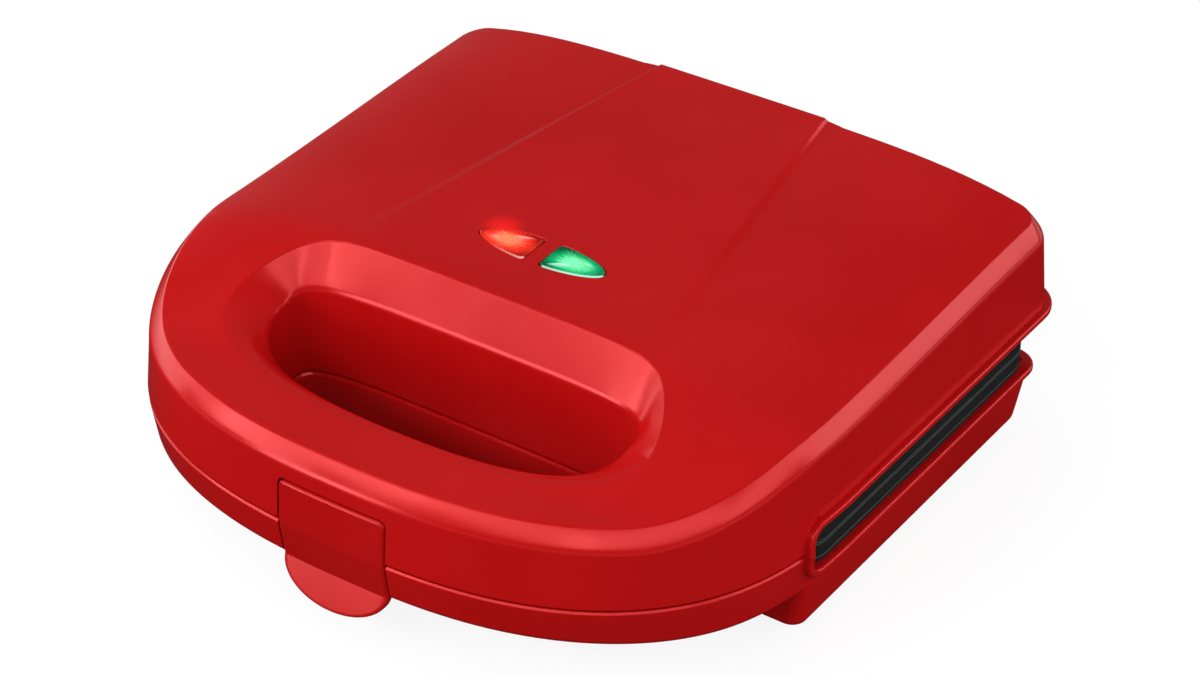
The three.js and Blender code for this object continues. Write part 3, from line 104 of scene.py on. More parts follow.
TAB_TIP = 1.53  # radians: the lowest row, just short of where the tab has no width
LATCH_CORNER, LATCH_EDGE, LATCH_SIDE_GAP = 2.0, 1.0, 0.5
LATCH_POCKET, CATCH_POCKET = 6.2, 3.6
LATCH_PIN_HEIGHT, LATCH_PIN_INSET = 44.1, 1.75
TAB_THICKNESS, TAB_ROOT = 2, 1  # how far above the tab its back steps in
NOSE, NOSE_HALF, NOSE_REACH = (23.2, 26.6), 12, 2.6  # the hook on the latch's back
LENS_INNER, LENS_OUTER, LENS_DEPTH, LENS_HALF = 2.9, 22.4, 8, 5.9
LENS_SOFTENING, LENS_FOOT = 1.5, 69
RECESS_GAP, RECESS_FOOT, RECESS_EDGE = 0.75, 60, 0.45
PLATE_REAR = 106.5
FOOT_PLACES = [(x, y) for x in (-88, 88) for y in (-6, 92)]
FOOT_RADIUS, FOOT_SINK = 8, 1
VENT_SIDES, VENT_ROWS = (-52, 52), [22 + i * 8 for i in range(6)]
VENT_HALF, VENT_WIDTH, VENT_REACH = 13, 3, 2.9
INLET, INLET_RADIUS = (42, 14), 4  # across and up

# Where the part's datum lies in the frame, in millimetres: the hinge pins tell
pin_low, pin_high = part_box("left_hinge_pin")
SHIFT = (pin_low[1] + pin_high[1]) * 500 - HINGE_DEPTH

# How finely the outlines are drawn
SIDE_STEPS, CORNER_STEPS, FRONT_STEPS = 44, 18, 150
HOLE_STEPS = 300
CREASE_SHARES = (-0.3, -0.1, 0.1, 0.3, 0.7, 0.9, 1.1, 1.3)  # across a sloping side


def rear_shares():
    """Places along the rear edge, close together where the panel's sides reach it."""
    straight = HALF_WIDTH - LID_PLAN[1]
    crease = [PANEL_HALVES[1] - PANEL_SLOPES[1] * share for share in CREASE_SHARES]
    places = np.concatenate([np.linspace(-straight, straight, 33)[1:], crease, np.negative(crease)])
    return np.unique((1 + places / straight) / 2)


REAR_SHARES = rear_shares()
COUNT = 2 * SIDE_STEPS + 2 * CORNER_STEPS + len(REAR_SHARES) + FRONT_STEPS


# Meshes

def to_frame(points):
    """Millimetres in the part's datum to metres in the frame."""
    moved = np.asarray(points, float) + (0, SHIFT, 0)
    return moved / 1000


def mesh_object(points, faces):
    mesh = bpy.data.meshes.new("piece")
    mesh.from_pydata([tuple(p) for p in to_frame(points)], [], faces)
    mesh.validate()
    piece = bpy.data.objects.new("piece", mesh)
    bpy.context.scene.collection.objects.link(piece)
    return piece


def loft(rings):
    """Skins a stack of closed rings, anticlockwise seen from the last one, and caps both ends."""
    count = len(rings[0])
    points = [p for ring in rings for p in ring]
    points += [np.mean(rings[0], axis=0), np.mean(rings[-1], axis=0)]
    bottom, top = len(points) - 2, len(points) - 1
    last = (len(rings) - 1) * count
    faces = []
    for i in range(count):
        after = (i + 1) % count
        faces.append((bottom, after, i))
        faces.append((top, last + i, last + after))
        for r in range(len(rings) - 1):
            low, high = r * count, (r + 1) * count
            faces.append((low + i, low + after, high + after, high + i))
    return mesh_object(points, faces)


def rounded(rings, radii, steps=4):
    """Rounds the corners that a stack of rings turns, each by its own radius."""
    out = [rings[0]]
    for before, ring, after, radius in zip(rings, rings[1:], rings[2:], radii):
        radius = np.broadcast_to(radius, len(ring))[:, None]
        if not radius.any():
            out.append(ring)
            continue
        back, on = before - ring, after - ring
        back_length = np.linalg.norm(back, axis=1)[:, None] + 1e-9
        on_length = np.linalg.norm(on, axis=1)[:, None] + 1e-9
        start = ring + back * np.minimum(radius / back_length, 0.49)
        end = ring + on * np.minimum(radius / on_length, 0.49)
        for k in range(steps + 1):
            t = k / steps
            out.append(start * (1 - t) ** 2 + ring * 2 * t * (1 - t) + end * t ** 2)
    out.append(rings[-1])
    return out


def combine(piece, tools, operation):
    """Cuts, keeps or joins a piece with closed tools, which are used up."""
    for tool in tools:
        step = piece.modifiers.new("step", "BOOLEAN")
        step.object = tool
        step.operation = operation
        step.solver = "MANIFOLD"
    bpy.context.view_layer.update()
    graph = bpy.context.evaluated_depsgraph_get()
    mesh = bpy.data.meshes.new_from_object(piece.evaluated_get(graph))
    piece.modifiers.clear()
    old, piece.data = piece.data, mesh
    bpy.data.meshes.remove(old)
    for tool in tools:
        spare = tool.data
        bpy.data.objects.remove(tool)
        bpy.data.meshes.remove(spare)
    return piece


def cut(piece, *tools):
    return combine(piece, tools, "DIFFERENCE")


def keep(piece, *tools):
    return combine(piece, tools, "INTERSECT")


def join(piece, *tools):
    return combine(piece, tools, "UNION")


def smooth(piece, angle=28):
    """Smooth shading that breaks at edges sharper than an angle, in degrees."""
    shape = bmesh.new()
    shape.from_mesh(piece.data)
    bmesh.ops.remove_doubles(shape, verts=shape.verts, dist=2e-6)
    bmesh.ops.dissolve_degenerate(shape, edges=shape.edges, dist=2e-6)
    limit = math.radians(angle)
    for face in shape.faces:
        face.smooth = True
    for edge in shape.edges:
        edge.smooth = len(edge.link_faces) == 2 and edge.calc_face_angle(0) < limit
    shape.to_mesh(piece.data)
    shape.free()
    normals = piece.modifiers.new("normals", "WEIGHTED_NORMAL")
    normals.keep_sharp = True
    normals.mode = "FACE_AREA_WITH_ANGLE"
    return piece


def block(x, y, z):
    corners = [(a, b) for a, b in ((x[0], y[0]), (x[1], y[0]), (x[1], y[1]), (x[0], y[1]))]
    return loft([np.array([(a, b, c) for a, b in corners], float) for c in z])


def at_height(plan, z):
    """Plan points, at one height or one height each."""
    return np.column_stack([plan, np.broadcast_to(z, len(plan))])


def circle(radius, steps=32):
    angle = np.arange(steps) / steps * 2 * math.pi
    return radius * np.column_stack([np.cos(angle), np.sin(angle)])


def quarter(steps):
    """Cosines and sines of even steps from 0 to 90 degrees."""
    return [(math.cos(a), math.sin(a)) for a in np.arange(steps + 1) / steps * math.pi / 2]


# Outlines

def power(value, exponent):
    return np.sign(value) * np.abs(value) ** exponent


def ease(value):
    share = np.clip(value, 0, 1)
    return share * share * (3 - 2 * share)


def outline(plan, inset):
    """The body in plan, anticlockwise from the middle of the right side, moved in by an inset."""
    rear, corner = plan
    gap = np.broadcast_to(np.asarray(inset, float), COUNT)
    runs = (SIDE_STEPS, CORNER_STEPS, len(REAR_SHARES), CORNER_STEPS, SIDE_STEPS, FRONT_STEPS)
    starts = np.cumsum((0,) + runs)
    shares = [np.arange(n) / n for n in runs]
    shares[2] = REAR_SHARES
    gaps = [gap[a:b] for a, b in zip(starts, starts[1:])]

    def side(t, g, sign):
        return sign * (HALF_WIDTH - g), t * (rear - corner)

    def turn(t, g, sign):
        angle = t * math.pi / 2
        bend = np.maximum(corner - g, GAP)
        x = HALF_WIDTH - g - bend + bend * np.cos(angle)
        return sign * x, rear - g - bend + bend * np.sin(angle)

    def back(t, g):
        return (1 - 2 * t) * (HALF_WIDTH - g - np.maximum(corner - g, GAP)), rear - g

    def front(t, g):
        angle = math.pi * (1 + t)
        x = (HALF_WIDTH - g) * power(np.cos(angle), 2 / FRONT_FULLNESS)
        return x, (FRONT_REACH - g) * power(np.sin(angle), 2 / FRONT_FULLNESS)

    parts = [
        side(shares[0], gaps[0], 1),
        turn(shares[1], gaps[1], 1),
        back(shares[2], gaps[2]),
        turn(1 - shares[3], gaps[3], -1),
        side(1 - shares[4], gaps[4], -1),
        front(shares[5], gaps[5]),
    ]
    return np.vstack([np.column_stack(np.broadcast_arrays(x, y)) for x, y in parts])


def rounded_rectangle(half, front, rear, radius, steps=10):
    points = []
    corners = ((half, rear, 0), (-half, rear, 1), (-half, front, 2), (half, front, 3))
    for x, y, quarter in corners:
        centre_x = x - math.copysign(radius, x)
        centre_y = y - radius if y == rear else y + radius
        for i in range(steps + 1):
            angle = (quarter + i / steps) * math.pi / 2
            across, along = math.cos(angle), math.sin(angle)
            points.append((centre_x + radius * across, centre_y + radius * along))
    return np.array(points)


def lid_top(plan):
    """Height of the lid's top over plan points."""
    x, y = plan[:, 0], plan[:, 1]
    rise = ease((y - BAR_END) / (SHOULDER_START - BAR_END))
    climb = ease((y - SHOULDER_START) / (LID_PLAN[0] - SHOULDER_START))
    crown = BAR_CROWN + (BODY_CROWN - BAR_CROWN) * rise
    spine = BAR_TOP + (SHOULDER_TOP - BAR_TOP) * rise + (REAR_TOP - SHOULDER_TOP) * climb
    return spine - crown * np.abs(x / HALF_WIDTH) ** CROWN_POWER


# The lid's outer form

def no_lift(plan):
    return np.zeros(len(plan))


def panel_side(depth):
    """Half width, raise and slope width of the top's raised middle, at a depth."""
    share = np.clip((depth - PANEL_FRONT) / (PANEL_REAR - PANEL_FRONT), 0, 1)
    return [a + (b - a) * share for a, b in (PANEL_HALVES, PANEL_RAISES, PANEL_SLOPES)]


def soft_step(share, soft=0.2):
    """From 0 to 1 over a share of 0 to 1, with its two corners rounded."""

    def foot(value):
        bent = (value + soft) ** 2 / (4 * soft)
        return np.where(value < -soft, 0, np.where(value > soft, value, bent))

    return foot(share) - foot(share - 1)


def panel_lift(plan):
    half, raised, slope = panel_side(plan[:, 1])
    before = ease((plan[:, 1] - PANEL_FRONT + PANEL_RUN_IN) / PANEL_RUN_IN)
    return before * raised * soft_step((half - np.abs(plan[:, 0])) / slope)


def under_top(drop, lift, along_steps=130):
    """Everything below the lid's top surface, in rows that follow the panel's sides."""
    wide = HALF_WIDTH + OVERRUN
    outer = np.linspace(0, 1, 30)
    rings = []
    for depth in np.linspace(-FRONT_REACH - OVERRUN, LID_PLAN[0] + OVERRUN, along_steps + 1):
        half, _, slope = panel_side(depth)
        crease = half - slope * np.array(CREASE_SHARES)
        side = (wide + (crease[0] - wide) * outer ** 0.8)[:-1]
        right = np.concatenate([side, crease, np.linspace(crease[-1], 0, 24)[1:]])
        across = np.concatenate([right, -right[-2::-1]])[::-1]
        plan = np.column_stack([across, np.full(len(across), depth)])
        top = at_height(plan, lid_top(plan) - drop + lift(plan))
        feet = np.array([(wide, depth, -OVERRUN), (-wide, depth, -OVERRUN)])
        rings.append(np.vstack([top, feet]))
    return loft(rings)


def lid_walls(skin, lift, bottom):
    """The lid's walls and bevel, run on above its top surface."""

    def top_at(plan):
        return lid_top(plan) - skin + lift(plan)

    foot = skin + LID_DRAFT * (bottom - SEAM)
    near = outline(LID_PLAN, skin + BEVEL_RUN)
    lower = skin + LID_DRAFT * (top_at(near) - BEVEL_DROP - SEAM)
    edge_height = top_at(outline(LID_PLAN, lower + BEVEL_RUN))

    def bevel(share):
        drop = BEVEL_DROP * (1 - share - math.sin(share * math.pi) * BEVEL_BULGE)
        return at_height(outline(LID_PLAN, lower + BEVEL_RUN * share), edge_height - drop)

    past = outline(LID_PLAN, lower + BEVEL_RUN + 4)
    over = at_height(past, top_at(past) + 0.25)
    rings = [
        at_height(outline(LID_PLAN, foot + LID_EASED_EDGE), bottom),
        at_height(outline(LID_PLAN, foot), bottom + LID_EASED_EDGE),
        at_height(outline(LID_PLAN, skin + LID_DRAFT * (WALL_ROW - SEAM)), WALL_ROW),
        bevel(0),
        bevel(0.5),
        bevel(1),
        over,
        over + (0, 0, OVERRUN),
    ]
    return loft(rounded(rings, [0.2, 0, 1.3, 1.6, 0.6, 0]))


def lid_form(skin=0, lift=no_lift, bottom=SEAM):
    return keep(lid_walls(skin, lift, bottom), under_top(skin, lift))


# The finger opening

HOLE_ANGLE = np.arange(HOLE_STEPS) / HOLE_STEPS * 2 * math.pi
HOLE_FRONTNESS = ease((1 - np.sin(HOLE_ANGLE)) / 2)


HOLE_REAR_FULLNESS, HOLE_FRONT_FULLNESS = 4.4, 2.3


def hole_curve(half, centre, rear, front, grow=0):
    """Two half superellipses: a full one behind and a rounder one in front."""
    across, along = np.cos(HOLE_ANGLE), np.sin(HOLE_ANGLE)
    behind = np.arange(HOLE_STEPS) * 2 < HOLE_STEPS
    fullness = np.where(behind, HOLE_REAR_FULLNESS, HOLE_FRONT_FULLNESS)
    depth = np.where(behind, rear - centre, centre - front) + grow
    x = (half + grow) * power(across, 2 / fullness)
    return np.column_stack([x, centre + depth * power(along, 2 / fullness)])


THROAT = (60, -38, -27, -61)
RIM = (62, -38, -25.5, -63)
RIM_HEIGHT, RIM_FALL = 61.2, 10.2  # behind, and from there to the front
MOUTH = (76, -43, -17.4, -71)
UNDERSIDE = (59, -38, -28, -60)
MOUTH_CORNER = 59  # where the mouth's rear edge turns into its slanted ends
MOUTH_SHOULDER = -35.5  # depth where these ends reach its full width
MOUTH_CRISPNESS = 12
CORNER_MATCH = 2.15  # stretches the rim's depth, so that its corners face the mouth's
RIM_FALL_POWER = 1.5
ROLL_SHARE, ROLL_BULGE = 0.45, 2.5  # place between rim and mouth, lift in front
RIM_ROUND, ROLL_ROUND, MOUTH_ROUND = (1.5, 1.0), 4.5, (0.6, 3.9)  # behind, and more in front


def mouth_curve(grow=0):
    """The mouth in plan: a straight rear edge, slanted ends and a rounded front."""
    half, centre, rear, front = MOUTH
    curve = hole_curve(half, centre, rear, front, grow)
    depth = rear - centre
    slant = np.array((rear - MOUTH_SHOULDER, half - MOUTH_CORNER))
    slant /= np.linalg.norm(slant)
    way = hole_curve(RIM[0], 0, (RIM[2] - RIM[1]) * CORNER_MATCH, -1)
    behind = way[:, 1] >= 0
    way = way[behind]
    x, y = np.abs(way[:, 0]), way[:, 1]
    shares = [
        y / (depth + grow),
        (x * slant[0] + y * slant[1]) / (MOUTH_CORNER * slant[0] + depth * slant[1] + grow),
        x / (half + grow),
    ]
    reach = sum(share ** MOUTH_CRISPNESS for share in shares) ** (-1 / MOUTH_CRISPNESS)
    curve[behind] = way * reach[:, None] + (0, centre)
    curve[~behind, 0] *= curve[0, 0] / (half + grow)
    return np.mean([np.roll(curve, k, axis=0) for k in (-2, -1, 0, 1, 2)], axis=0)


def lid_hole(grow=0):
    """The funnel that opens the bar: a straight throat, a chamfer behind and a roll in front."""
    throat, eased = hole_curve(*THROAT, grow), hole_curve(*THROAT, grow + EASED_EDGE)
    rolled = np.clip(HOLE_FRONTNESS * 2 - 1, 0, 1)
    fall = RIM_FALL * HOLE_FRONTNESS ** RIM_FALL_POWER
    rim = at_height(hole_curve(*RIM, grow), RIM_HEIGHT - fall)
    mouth_plan = mouth_curve(grow)
    mouth = at_height(mouth_plan, lid_top(mouth_plan) + panel_lift(mouth_plan))
    roll = rim * (1 - ROLL_SHARE) + mouth * ROLL_SHARE
    roll[:, 2] += ROLL_BULGE * rolled
    brim_plan = mouth_curve(grow + 4)
    brim = at_height(brim_plan, lid_top(brim_plan) + panel_lift(brim_plan) + 0.3)
    rings = [
        at_height(eased, SEAM - OVERRUN),
        at_height(eased, SEAM + GAP / 2),
        at_height(throat, SEAM + GAP / 2 + EASED_EDGE * 1.5),
        rim,
        roll,
        mouth,
        brim,
        brim + (0, 0, OVERRUN * 1.5),
    ]
    rim_round, mouth_round = (behind + more * rolled for behind, more in (RIM_ROUND, MOUTH_ROUND))
    return loft(rounded(rings, [0, 0.2, rim_round, ROLL_ROUND, mouth_round, 0], 5))


def base_hole(grow=0, bottom=TRAY_BOTTOM - OVERRUN):
    under = hole_curve(*UNDERSIDE, grow)
    throat = hole_curve(*THROAT, grow)
    rings = [at_height(under, bottom)]
    if bottom < TRAY_BOTTOM:
        rings.append(at_height(under, TRAY_BOTTOM))
    eased = hole_curve(*THROAT, grow + EASED_EDGE)
    rings += [
        at_height(throat, SEAM - GAP / 2 - EASED_EDGE * 1.5),
        at_height(eased, SEAM - GAP / 2),
        at_height(eased, SEAM + OVERRUN),
    ]
    return loft(rounded(rings, [0.3] * (len(rings) - 2)))


# The side windows and the lip round them

def window(edge, direction):
    """The gap that bares the plates, as a slab across the whole width."""
    front, rear = WINDOW_FRONT, LID_PLAN[0] + OVERRUN
    far = SEAM - direction * OVERRUN
    profile = [(front, far), (rear, far), (rear, edge)]
    for across, up in quarter(12):
        height = edge - direction * WINDOW_ROUND * (1 - across)
        profile.append((front + WINDOW_ROUND * (1 - up), height))
    if direction < 0:
        profile.reverse()
    wide = HALF_WIDTH + OVERRUN
    return side_prism(-wide, wide, profile)


def wall_at(inset, depth):
    """Half width of the body and its outward direction, at a depth along its side."""
    if depth >= 0:
        return HALF_WIDTH - inset, (1.0, 0.0)
    reach = FRONT_REACH - inset
    share = abs(depth) / reach
    half = (HALF_WIDTH - inset) * (1 - share ** FRONT_FULLNESS) ** (1 / FRONT_FULLNESS)
    slope = (half / (HALF_WIDTH - inset)) ** (FRONT_FULLNESS - 1) / (HALF_WIDTH - inset)
    fall = share ** (FRONT_FULLNESS - 1) / reach
    size = math.hypot(slope, fall)
    return half, (slope / size, -fall / size)


def lip_side(plan, edge, direction):
    """Depths and heights of the lip's centre line along a side, from the parting line back."""
    rear, corner = plan
    level = edge + direction * LIP_THICKNESS / 2
    front = WINDOW_FRONT - LIP_THICKNESS / 2
    bend = WINDOW_ROUND + LIP_THICKNESS / 2
    side = [(front, SEAM + direction * GAP / 2), (front, level - direction * bend)]
    for across, up in quarter(12)[1:]:
        side.append((front + bend * (1 - across), level - direction * bend * (1 - up)))
    side += [(depth, level) for depth in np.linspace(front + bend, rear - corner, 40)[1:]]
    return side


def lip_path(plan, draft, edge, direction):
    """Centre line of the lip's right half, from the parting line to the middle of the back."""
    rear, corner = plan
    places = []
    for depth, height in lip_side(plan, edge, direction):
        half, out = wall_at(draft * abs(height - SEAM), depth)
        places.append(((half, depth, height), (*out, 0)))
    level = edge + direction * LIP_THICKNESS / 2
    inset = draft * abs(level - SEAM)
    bend = corner - inset
    for across, along in quarter(14)[1:]:
        x, y = HALF_WIDTH - corner + bend * across, rear - corner + bend * along
        places.append(((x, y, level), (across, along, 0)))
    for share in np.linspace(0, 1, 12)[1:]:
        places.append((((HALF_WIDTH - corner) * (1 - share), rear - inset, level), (0, 1, 0)))
    return places


def lip(plan, draft, edge, direction):
    """A rounded strip that stands out from the wall round the windows."""
    right = lip_path(plan, draft, edge, direction)
    left = [((-p[0], p[1], p[2]), (-n[0], n[1], n[2])) for p, n in right[-2::-1]]
    path = right + left
    points = np.array([p for p, _ in path])
    outward = np.array([n for _, n in path])
    along = np.gradient(points, axis=0)
    along /= np.linalg.norm(along, axis=1)[:, None]
    across = np.cross(outward, along)
    half = LIP_THICKNESS / 2
    section = [(-LIP_ROOT, -half), (-LIP_ROOT, half)]
    for centre, start in ((half - LIP_ROUND, 90), (LIP_ROUND - half, 0)):
        for i in range(6):
            angle = math.radians(start - i * 18)
            section.append((
                LIP_REACH - LIP_ROUND + LIP_ROUND * math.cos(angle),
                centre + LIP_ROUND * math.sin(angle),
            ))
    section.reverse()
    rings = [
        np.array([p + n * out + b * up for out, up in section])
        for p, n, b in zip(points, outward, across)
    ]
    return loft(rings)


# Small tools

def bar_along_x(radius, x0, x1, y, z):
    ring = circle(radius) + (y, z)
    return loft([np.column_stack([np.full(len(ring), x), ring]) for x in (x0, x1)])


def upright(radius, x, y, bottom, top):
    ring = circle(radius) + (x, y)
    return loft([at_height(ring, bottom), at_height(ring, top)])


def side_prism(x0, x1, profile):
    """A slab along X from a profile in depth and height, anticlockwise seen from the right."""
    return loft([np.array([(x, y, z) for y, z in profile]) for x in (x0, x1)])


def lens_curve(mirror, grow, count=360):
    """A lamp's outline in plan: a flat end towards the middle and a long rounded tip."""
    inner, outer, half = LENS_INNER - grow, LENS_OUTER + grow, LENS_HALF + grow
    belly = inner + (outer - inner) / 2
    t = np.linspace(0, 1, 60)[:, None]

    def bezier(*points):
        a, b, c, d = (np.array(p, float) for p in points)
        return a * (1 - t) ** 3 + 3 * b * t * (1 - t) ** 2 + 3 * c * t ** 2 * (1 - t) + d * t ** 3

    lower = bezier((inner, -half), (belly, -half), (outer, -half / 2), (outer, 0))
    upper = bezier((outer, 0), (outer, half / 2), (belly, half), (inner, half))
    curve = np.vstack([lower[:-1], upper, lower[:1]])
    run = np.concatenate([[0], np.cumsum(np.linalg.norm(np.diff(curve, axis=0), axis=1))])
    even = np.linspace(0, run[-1], count, endpoint=False)
    curve = np.column_stack([np.interp(even, run, curve[:, i]) for i in (0, 1)])
    reach = max(round((LENS_SOFTENING + grow) / run[-1] * count), 3)
    curve = np.mean([np.roll(curve, k, axis=0) for k in range(-reach, reach + 1)], axis=0)
    curve = curve * (mirror, 1) + (0, LENS_DEPTH)
    return curve if mirror > 0 else curve[::-1]


def lens_recess(mirror):
    """The hole that a lamp sits in, with an eased edge."""
    narrow, wide = lens_curve(mirror, GAP), lens_curve(mirror, RECESS_GAP)
    surface = lid_top(wide) + panel_lift(wide)
    rings = [
        at_height(narrow, RECESS_FOOT),
        at_height(narrow, surface - RECESS_EDGE),
        at_height(wide, surface + 0.1),
        at_height(wide, surface + OVERRUN),
    ]
    return loft(rounded(rings, [0.2, 0]))


# Shells

def lid_shell():
    shell = lid_form(0, panel_lift, SEAM + GAP / 2)
    inside = lid_form(SKIN, no_lift, SEAM - OVERRUN / 2)
    hollow = cut(inside, lid_hole(SKIN))
    shell = cut(shell, window(WINDOW_TOP, 1), hollow, lid_hole())
    shell = join(shell, lip(LID_PLAN, LID_DRAFT, WINDOW_TOP, 1))
    shell = join(shell, lid_partition(), *lid_ears())
    top, depth = LATCH_TOP + LATCH_TOP_GAP, LATCH_POCKET
    backing = keep(
        latch_pocket(depth + SKIN, SEAM + GAP / 2, top + SKIN, SKIN),
        lid_form(GAP, no_lift, SEAM + GAP / 2),
    )
    return smooth(cut(
        join(shell, backing),
        latch_pocket(depth, SEAM - OVERRUN / 2, top),
        lens_recess(-1),
        lens_recess(1),
    ))


def lid_partition():
    """The wall across the lid's inside, behind its plate."""
    near, half = PLATE_REAR + GAP, PARTITION_HALF
    return keep(
        block((-half, half), (near, near + SKIN), (WINDOW_TOP, PARTITION_TOP)),
        lid_form(SKIN / 2, no_lift, SEAM),
    )


def hinge_eye(x0, x1):
    return bar_along_x(EYE_RADIUS, x0, x1, HINGE_DEPTH, HINGE_HEIGHT)


def lid_ears():
    """Two ears at each hinge, one either side of the base's."""
    near, far = HINGE_DEPTH - EYE_RADIUS, HINGE_DEPTH + EYE_RADIUS
    foot, rear = WINDOW_TOP + GAP, far + LID_EAR_REACH
    profile = [
        (near, HINGE_HEIGHT), (far, HINGE_HEIGHT), (rear, foot), (rear, LID_EAR_TOP), (near, foot)
    ]
    ears = []
    for mirror in (-1, 1):
        for end in (-1, 1):
            inner = mirror * HINGE_PLACE + end * (HINGE_HALF + GAP)
            x0, x1 = sorted((inner, inner + end * EAR_THICKNESS))
            ears.append(side_prism(x0, x1, profile))
            ears.append(hinge_eye(x0, x1))
    return ears


def front_inset_form(inset, top=70, overlap=0.2):
    """Lid and base walls near the latch, moved in by an inset, as one solid."""
    upper = loft([
        at_height(outline(LID_PLAN, inset + LID_DRAFT * (z - SEAM)), z) for z in (SEAM, top)
    ])
    lower = loft([
        at_height(outline(BASE_PLAN, inset + BASE_DRAFT * (SEAM - z)), z)
        for z in (BELOW, SEAM + overlap)
    ])
    return join(upper, lower)


def latch_pocket(inset, bottom, top, grow=0):
    """Room for the latch, with top corners rounded as the latch's own."""
    half, corner = LATCH_HALF + LATCH_SIDE_GAP + grow, LATCH_CORNER + LATCH_SIDE_GAP
    turn = [(half - corner + corner * a, top - corner + corner * b) for a, b in quarter(8)]
    right = [(half, bottom)] + turn
    profile = [(-x, z) for x, z in right] + right[::-1]
    near, far = -FRONT_REACH - OVERRUN, -FRONT_REACH + OVERRUN
    rings = [np.array([(x, y, z) for x, z in profile]) for y in (near, far)]
    return cut(loft(rings), front_inset_form(inset))


def tray_ring(skin, extra, height, fall=0):
    plan = outline(BASE_PLAN, skin + extra + BASE_DRAFT * (SEAM - height))
    back = plan[:, 1] + FRONT_REACH - TRAY_FALL_START
    return at_height(plan, height - fall * ease(back / TRAY_FALL_LENGTH))


def base_tray(skin, bottom, top):
    """The shallow part under the carrying bar, run on to the rear."""
    rings = [
        tray_ring(skin, FLOOR_INSET, bottom, TRAY_FALL),
        tray_ring(skin, 0, bottom, TRAY_FALL),
        tray_ring(skin, 0, top - EASED_EDGE),
        tray_ring(skin, EASED_EDGE, top),
    ]
    return loft(rounded(rings, [BASE_ROUND, 0.2]))


def deep_ring(skin, extra, height):
    inset = skin + extra + BASE_DRAFT * (SEAM - height)
    front, rear = DEEP_FRONT + skin + extra, BASE_PLAN[0] - inset
    plan = rounded_rectangle(HALF_WIDTH - inset, front, rear, max(DEEP_CORNER - skin, 1))
    return at_height(plan, height)


def base_deep(skin, bottom, top):
    """The deep part behind the tray, which holds the lower plate."""
    levels = ((FLOOR_INSET, bottom), (0, bottom), (0, top))
    rings = [deep_ring(skin, extra, height) for extra, height in levels]
    return loft(rounded(rings, [BASE_ROUND]))


def base_shell():
    shell = join(
        base_tray(0, TRAY_BOTTOM, SEAM - GAP / 2),
        base_deep(0, DEEP_BOTTOM, SEAM - OVERRUN / 2),
    )
    hollow = join(
        base_tray(SKIN, TRAY_BOTTOM + SKIN, SEAM + OVERRUN),
        base_deep(SKIN, DEEP_BOTTOM + SKIN, SEAM + OVERRUN),
    )
    hollow = cut(hollow, base_hole(SKIN, TRAY_BOTTOM - SKIN))
    shell = cut(shell, window(WINDOW_BOTTOM, -1), hollow, base_hole())
    reach = CATCH_POCKET + SKIN
    backing = keep(
        latch_pocket(reach, TRAY_BOTTOM, SEAM + OVERRUN / 2, SKIN),
        base_tray(GAP, TRAY_BOTTOM, SEAM - GAP / 2),
    )
    lip_strip = lip(BASE_PLAN, BASE_DRAFT, WINDOW_BOTTOM, -1)
    shell = join(shell, lip_strip, backing, *base_ears())
    return smooth(cut(shell, *base_openings()))


def base_ears():
    """The ear in the middle of each hinge, rising from the rear wall below the window."""
    wall = BASE_PLAN[0] - BASE_DRAFT * (SEAM - WINDOW_BOTTOM)
    profile = [
        (wall - SKIN, WINDOW_BOTTOM - LIP_THICKNESS),
        (wall - SKIN, BASE_EAR_FOOT),
        (wall - SKIN / 2, BASE_EAR_FOOT),
        (HINGE_DEPTH + EYE_RADIUS, HINGE_HEIGHT),
        (HINGE_DEPTH - EYE_RADIUS, HINGE_HEIGHT),
        (wall, WINDOW_BOTTOM),
    ]
    ears = []
    for middle in (-HINGE_PLACE, HINGE_PLACE):
        x0, x1 = middle - HINGE_HALF, middle + HINGE_HALF
        ears.append(side_prism(x0, x1, profile))
        ears.append(hinge_eye(x0, x1))
    return ears


def base_openings():
    """What is cut from the base: catch, recesses of the feet, vents and the cord's inlet."""
    bottom, top = TRAY_BOTTOM - OVERRUN / 2, SEAM + OVERRUN / 2
    half, back = NOSE_HALF + GAP, -FRONT_REACH + CATCH_POCKET + SKIN + GAP
    heights = (NOSE[0] - GAP, NOSE[1] + GAP)
    tools = [
        latch_pocket(CATCH_POCKET, bottom, top),
        block((-half, half), (-FRONT_REACH - OVERRUN, back), heights),
    ]
    radius, sink = FOOT_RADIUS + GAP, BASE_BOTTOM + FOOT_SINK
    tools += [upright(radius, x, y, BELOW, sink) for x, y in FOOT_PLACES]
    for x in VENT_SIDES:
        across = (x - VENT_HALF, x + VENT_HALF)
        for y in VENT_ROWS:
            heights = (BELOW, BASE_BOTTOM + VENT_REACH)
            tools.append(block(across, (y, y + VENT_WIDTH), heights))
    tools.append(inlet_tool())
    return tools


def inlet_tool():
    """The round hole of the cord's inlet, square to the sloping rear wall."""
    tilt = math.atan(BASE_DRAFT)
    x, height = INLET
    middle = np.array((x, BASE_PLAN[0] - BASE_DRAFT * (SEAM - height), height))
    out = np.array((0, math.cos(tilt), -math.sin(tilt)))
    plane = np.array(((-1, 0, 0), (0, math.sin(tilt), math.cos(tilt))))
    ring = middle + circle(INLET_RADIUS + GAP) @ plane
    return loft([ring + out * reach for reach in (-OVERRUN / 2, OVERRUN / 2)])


# Latch

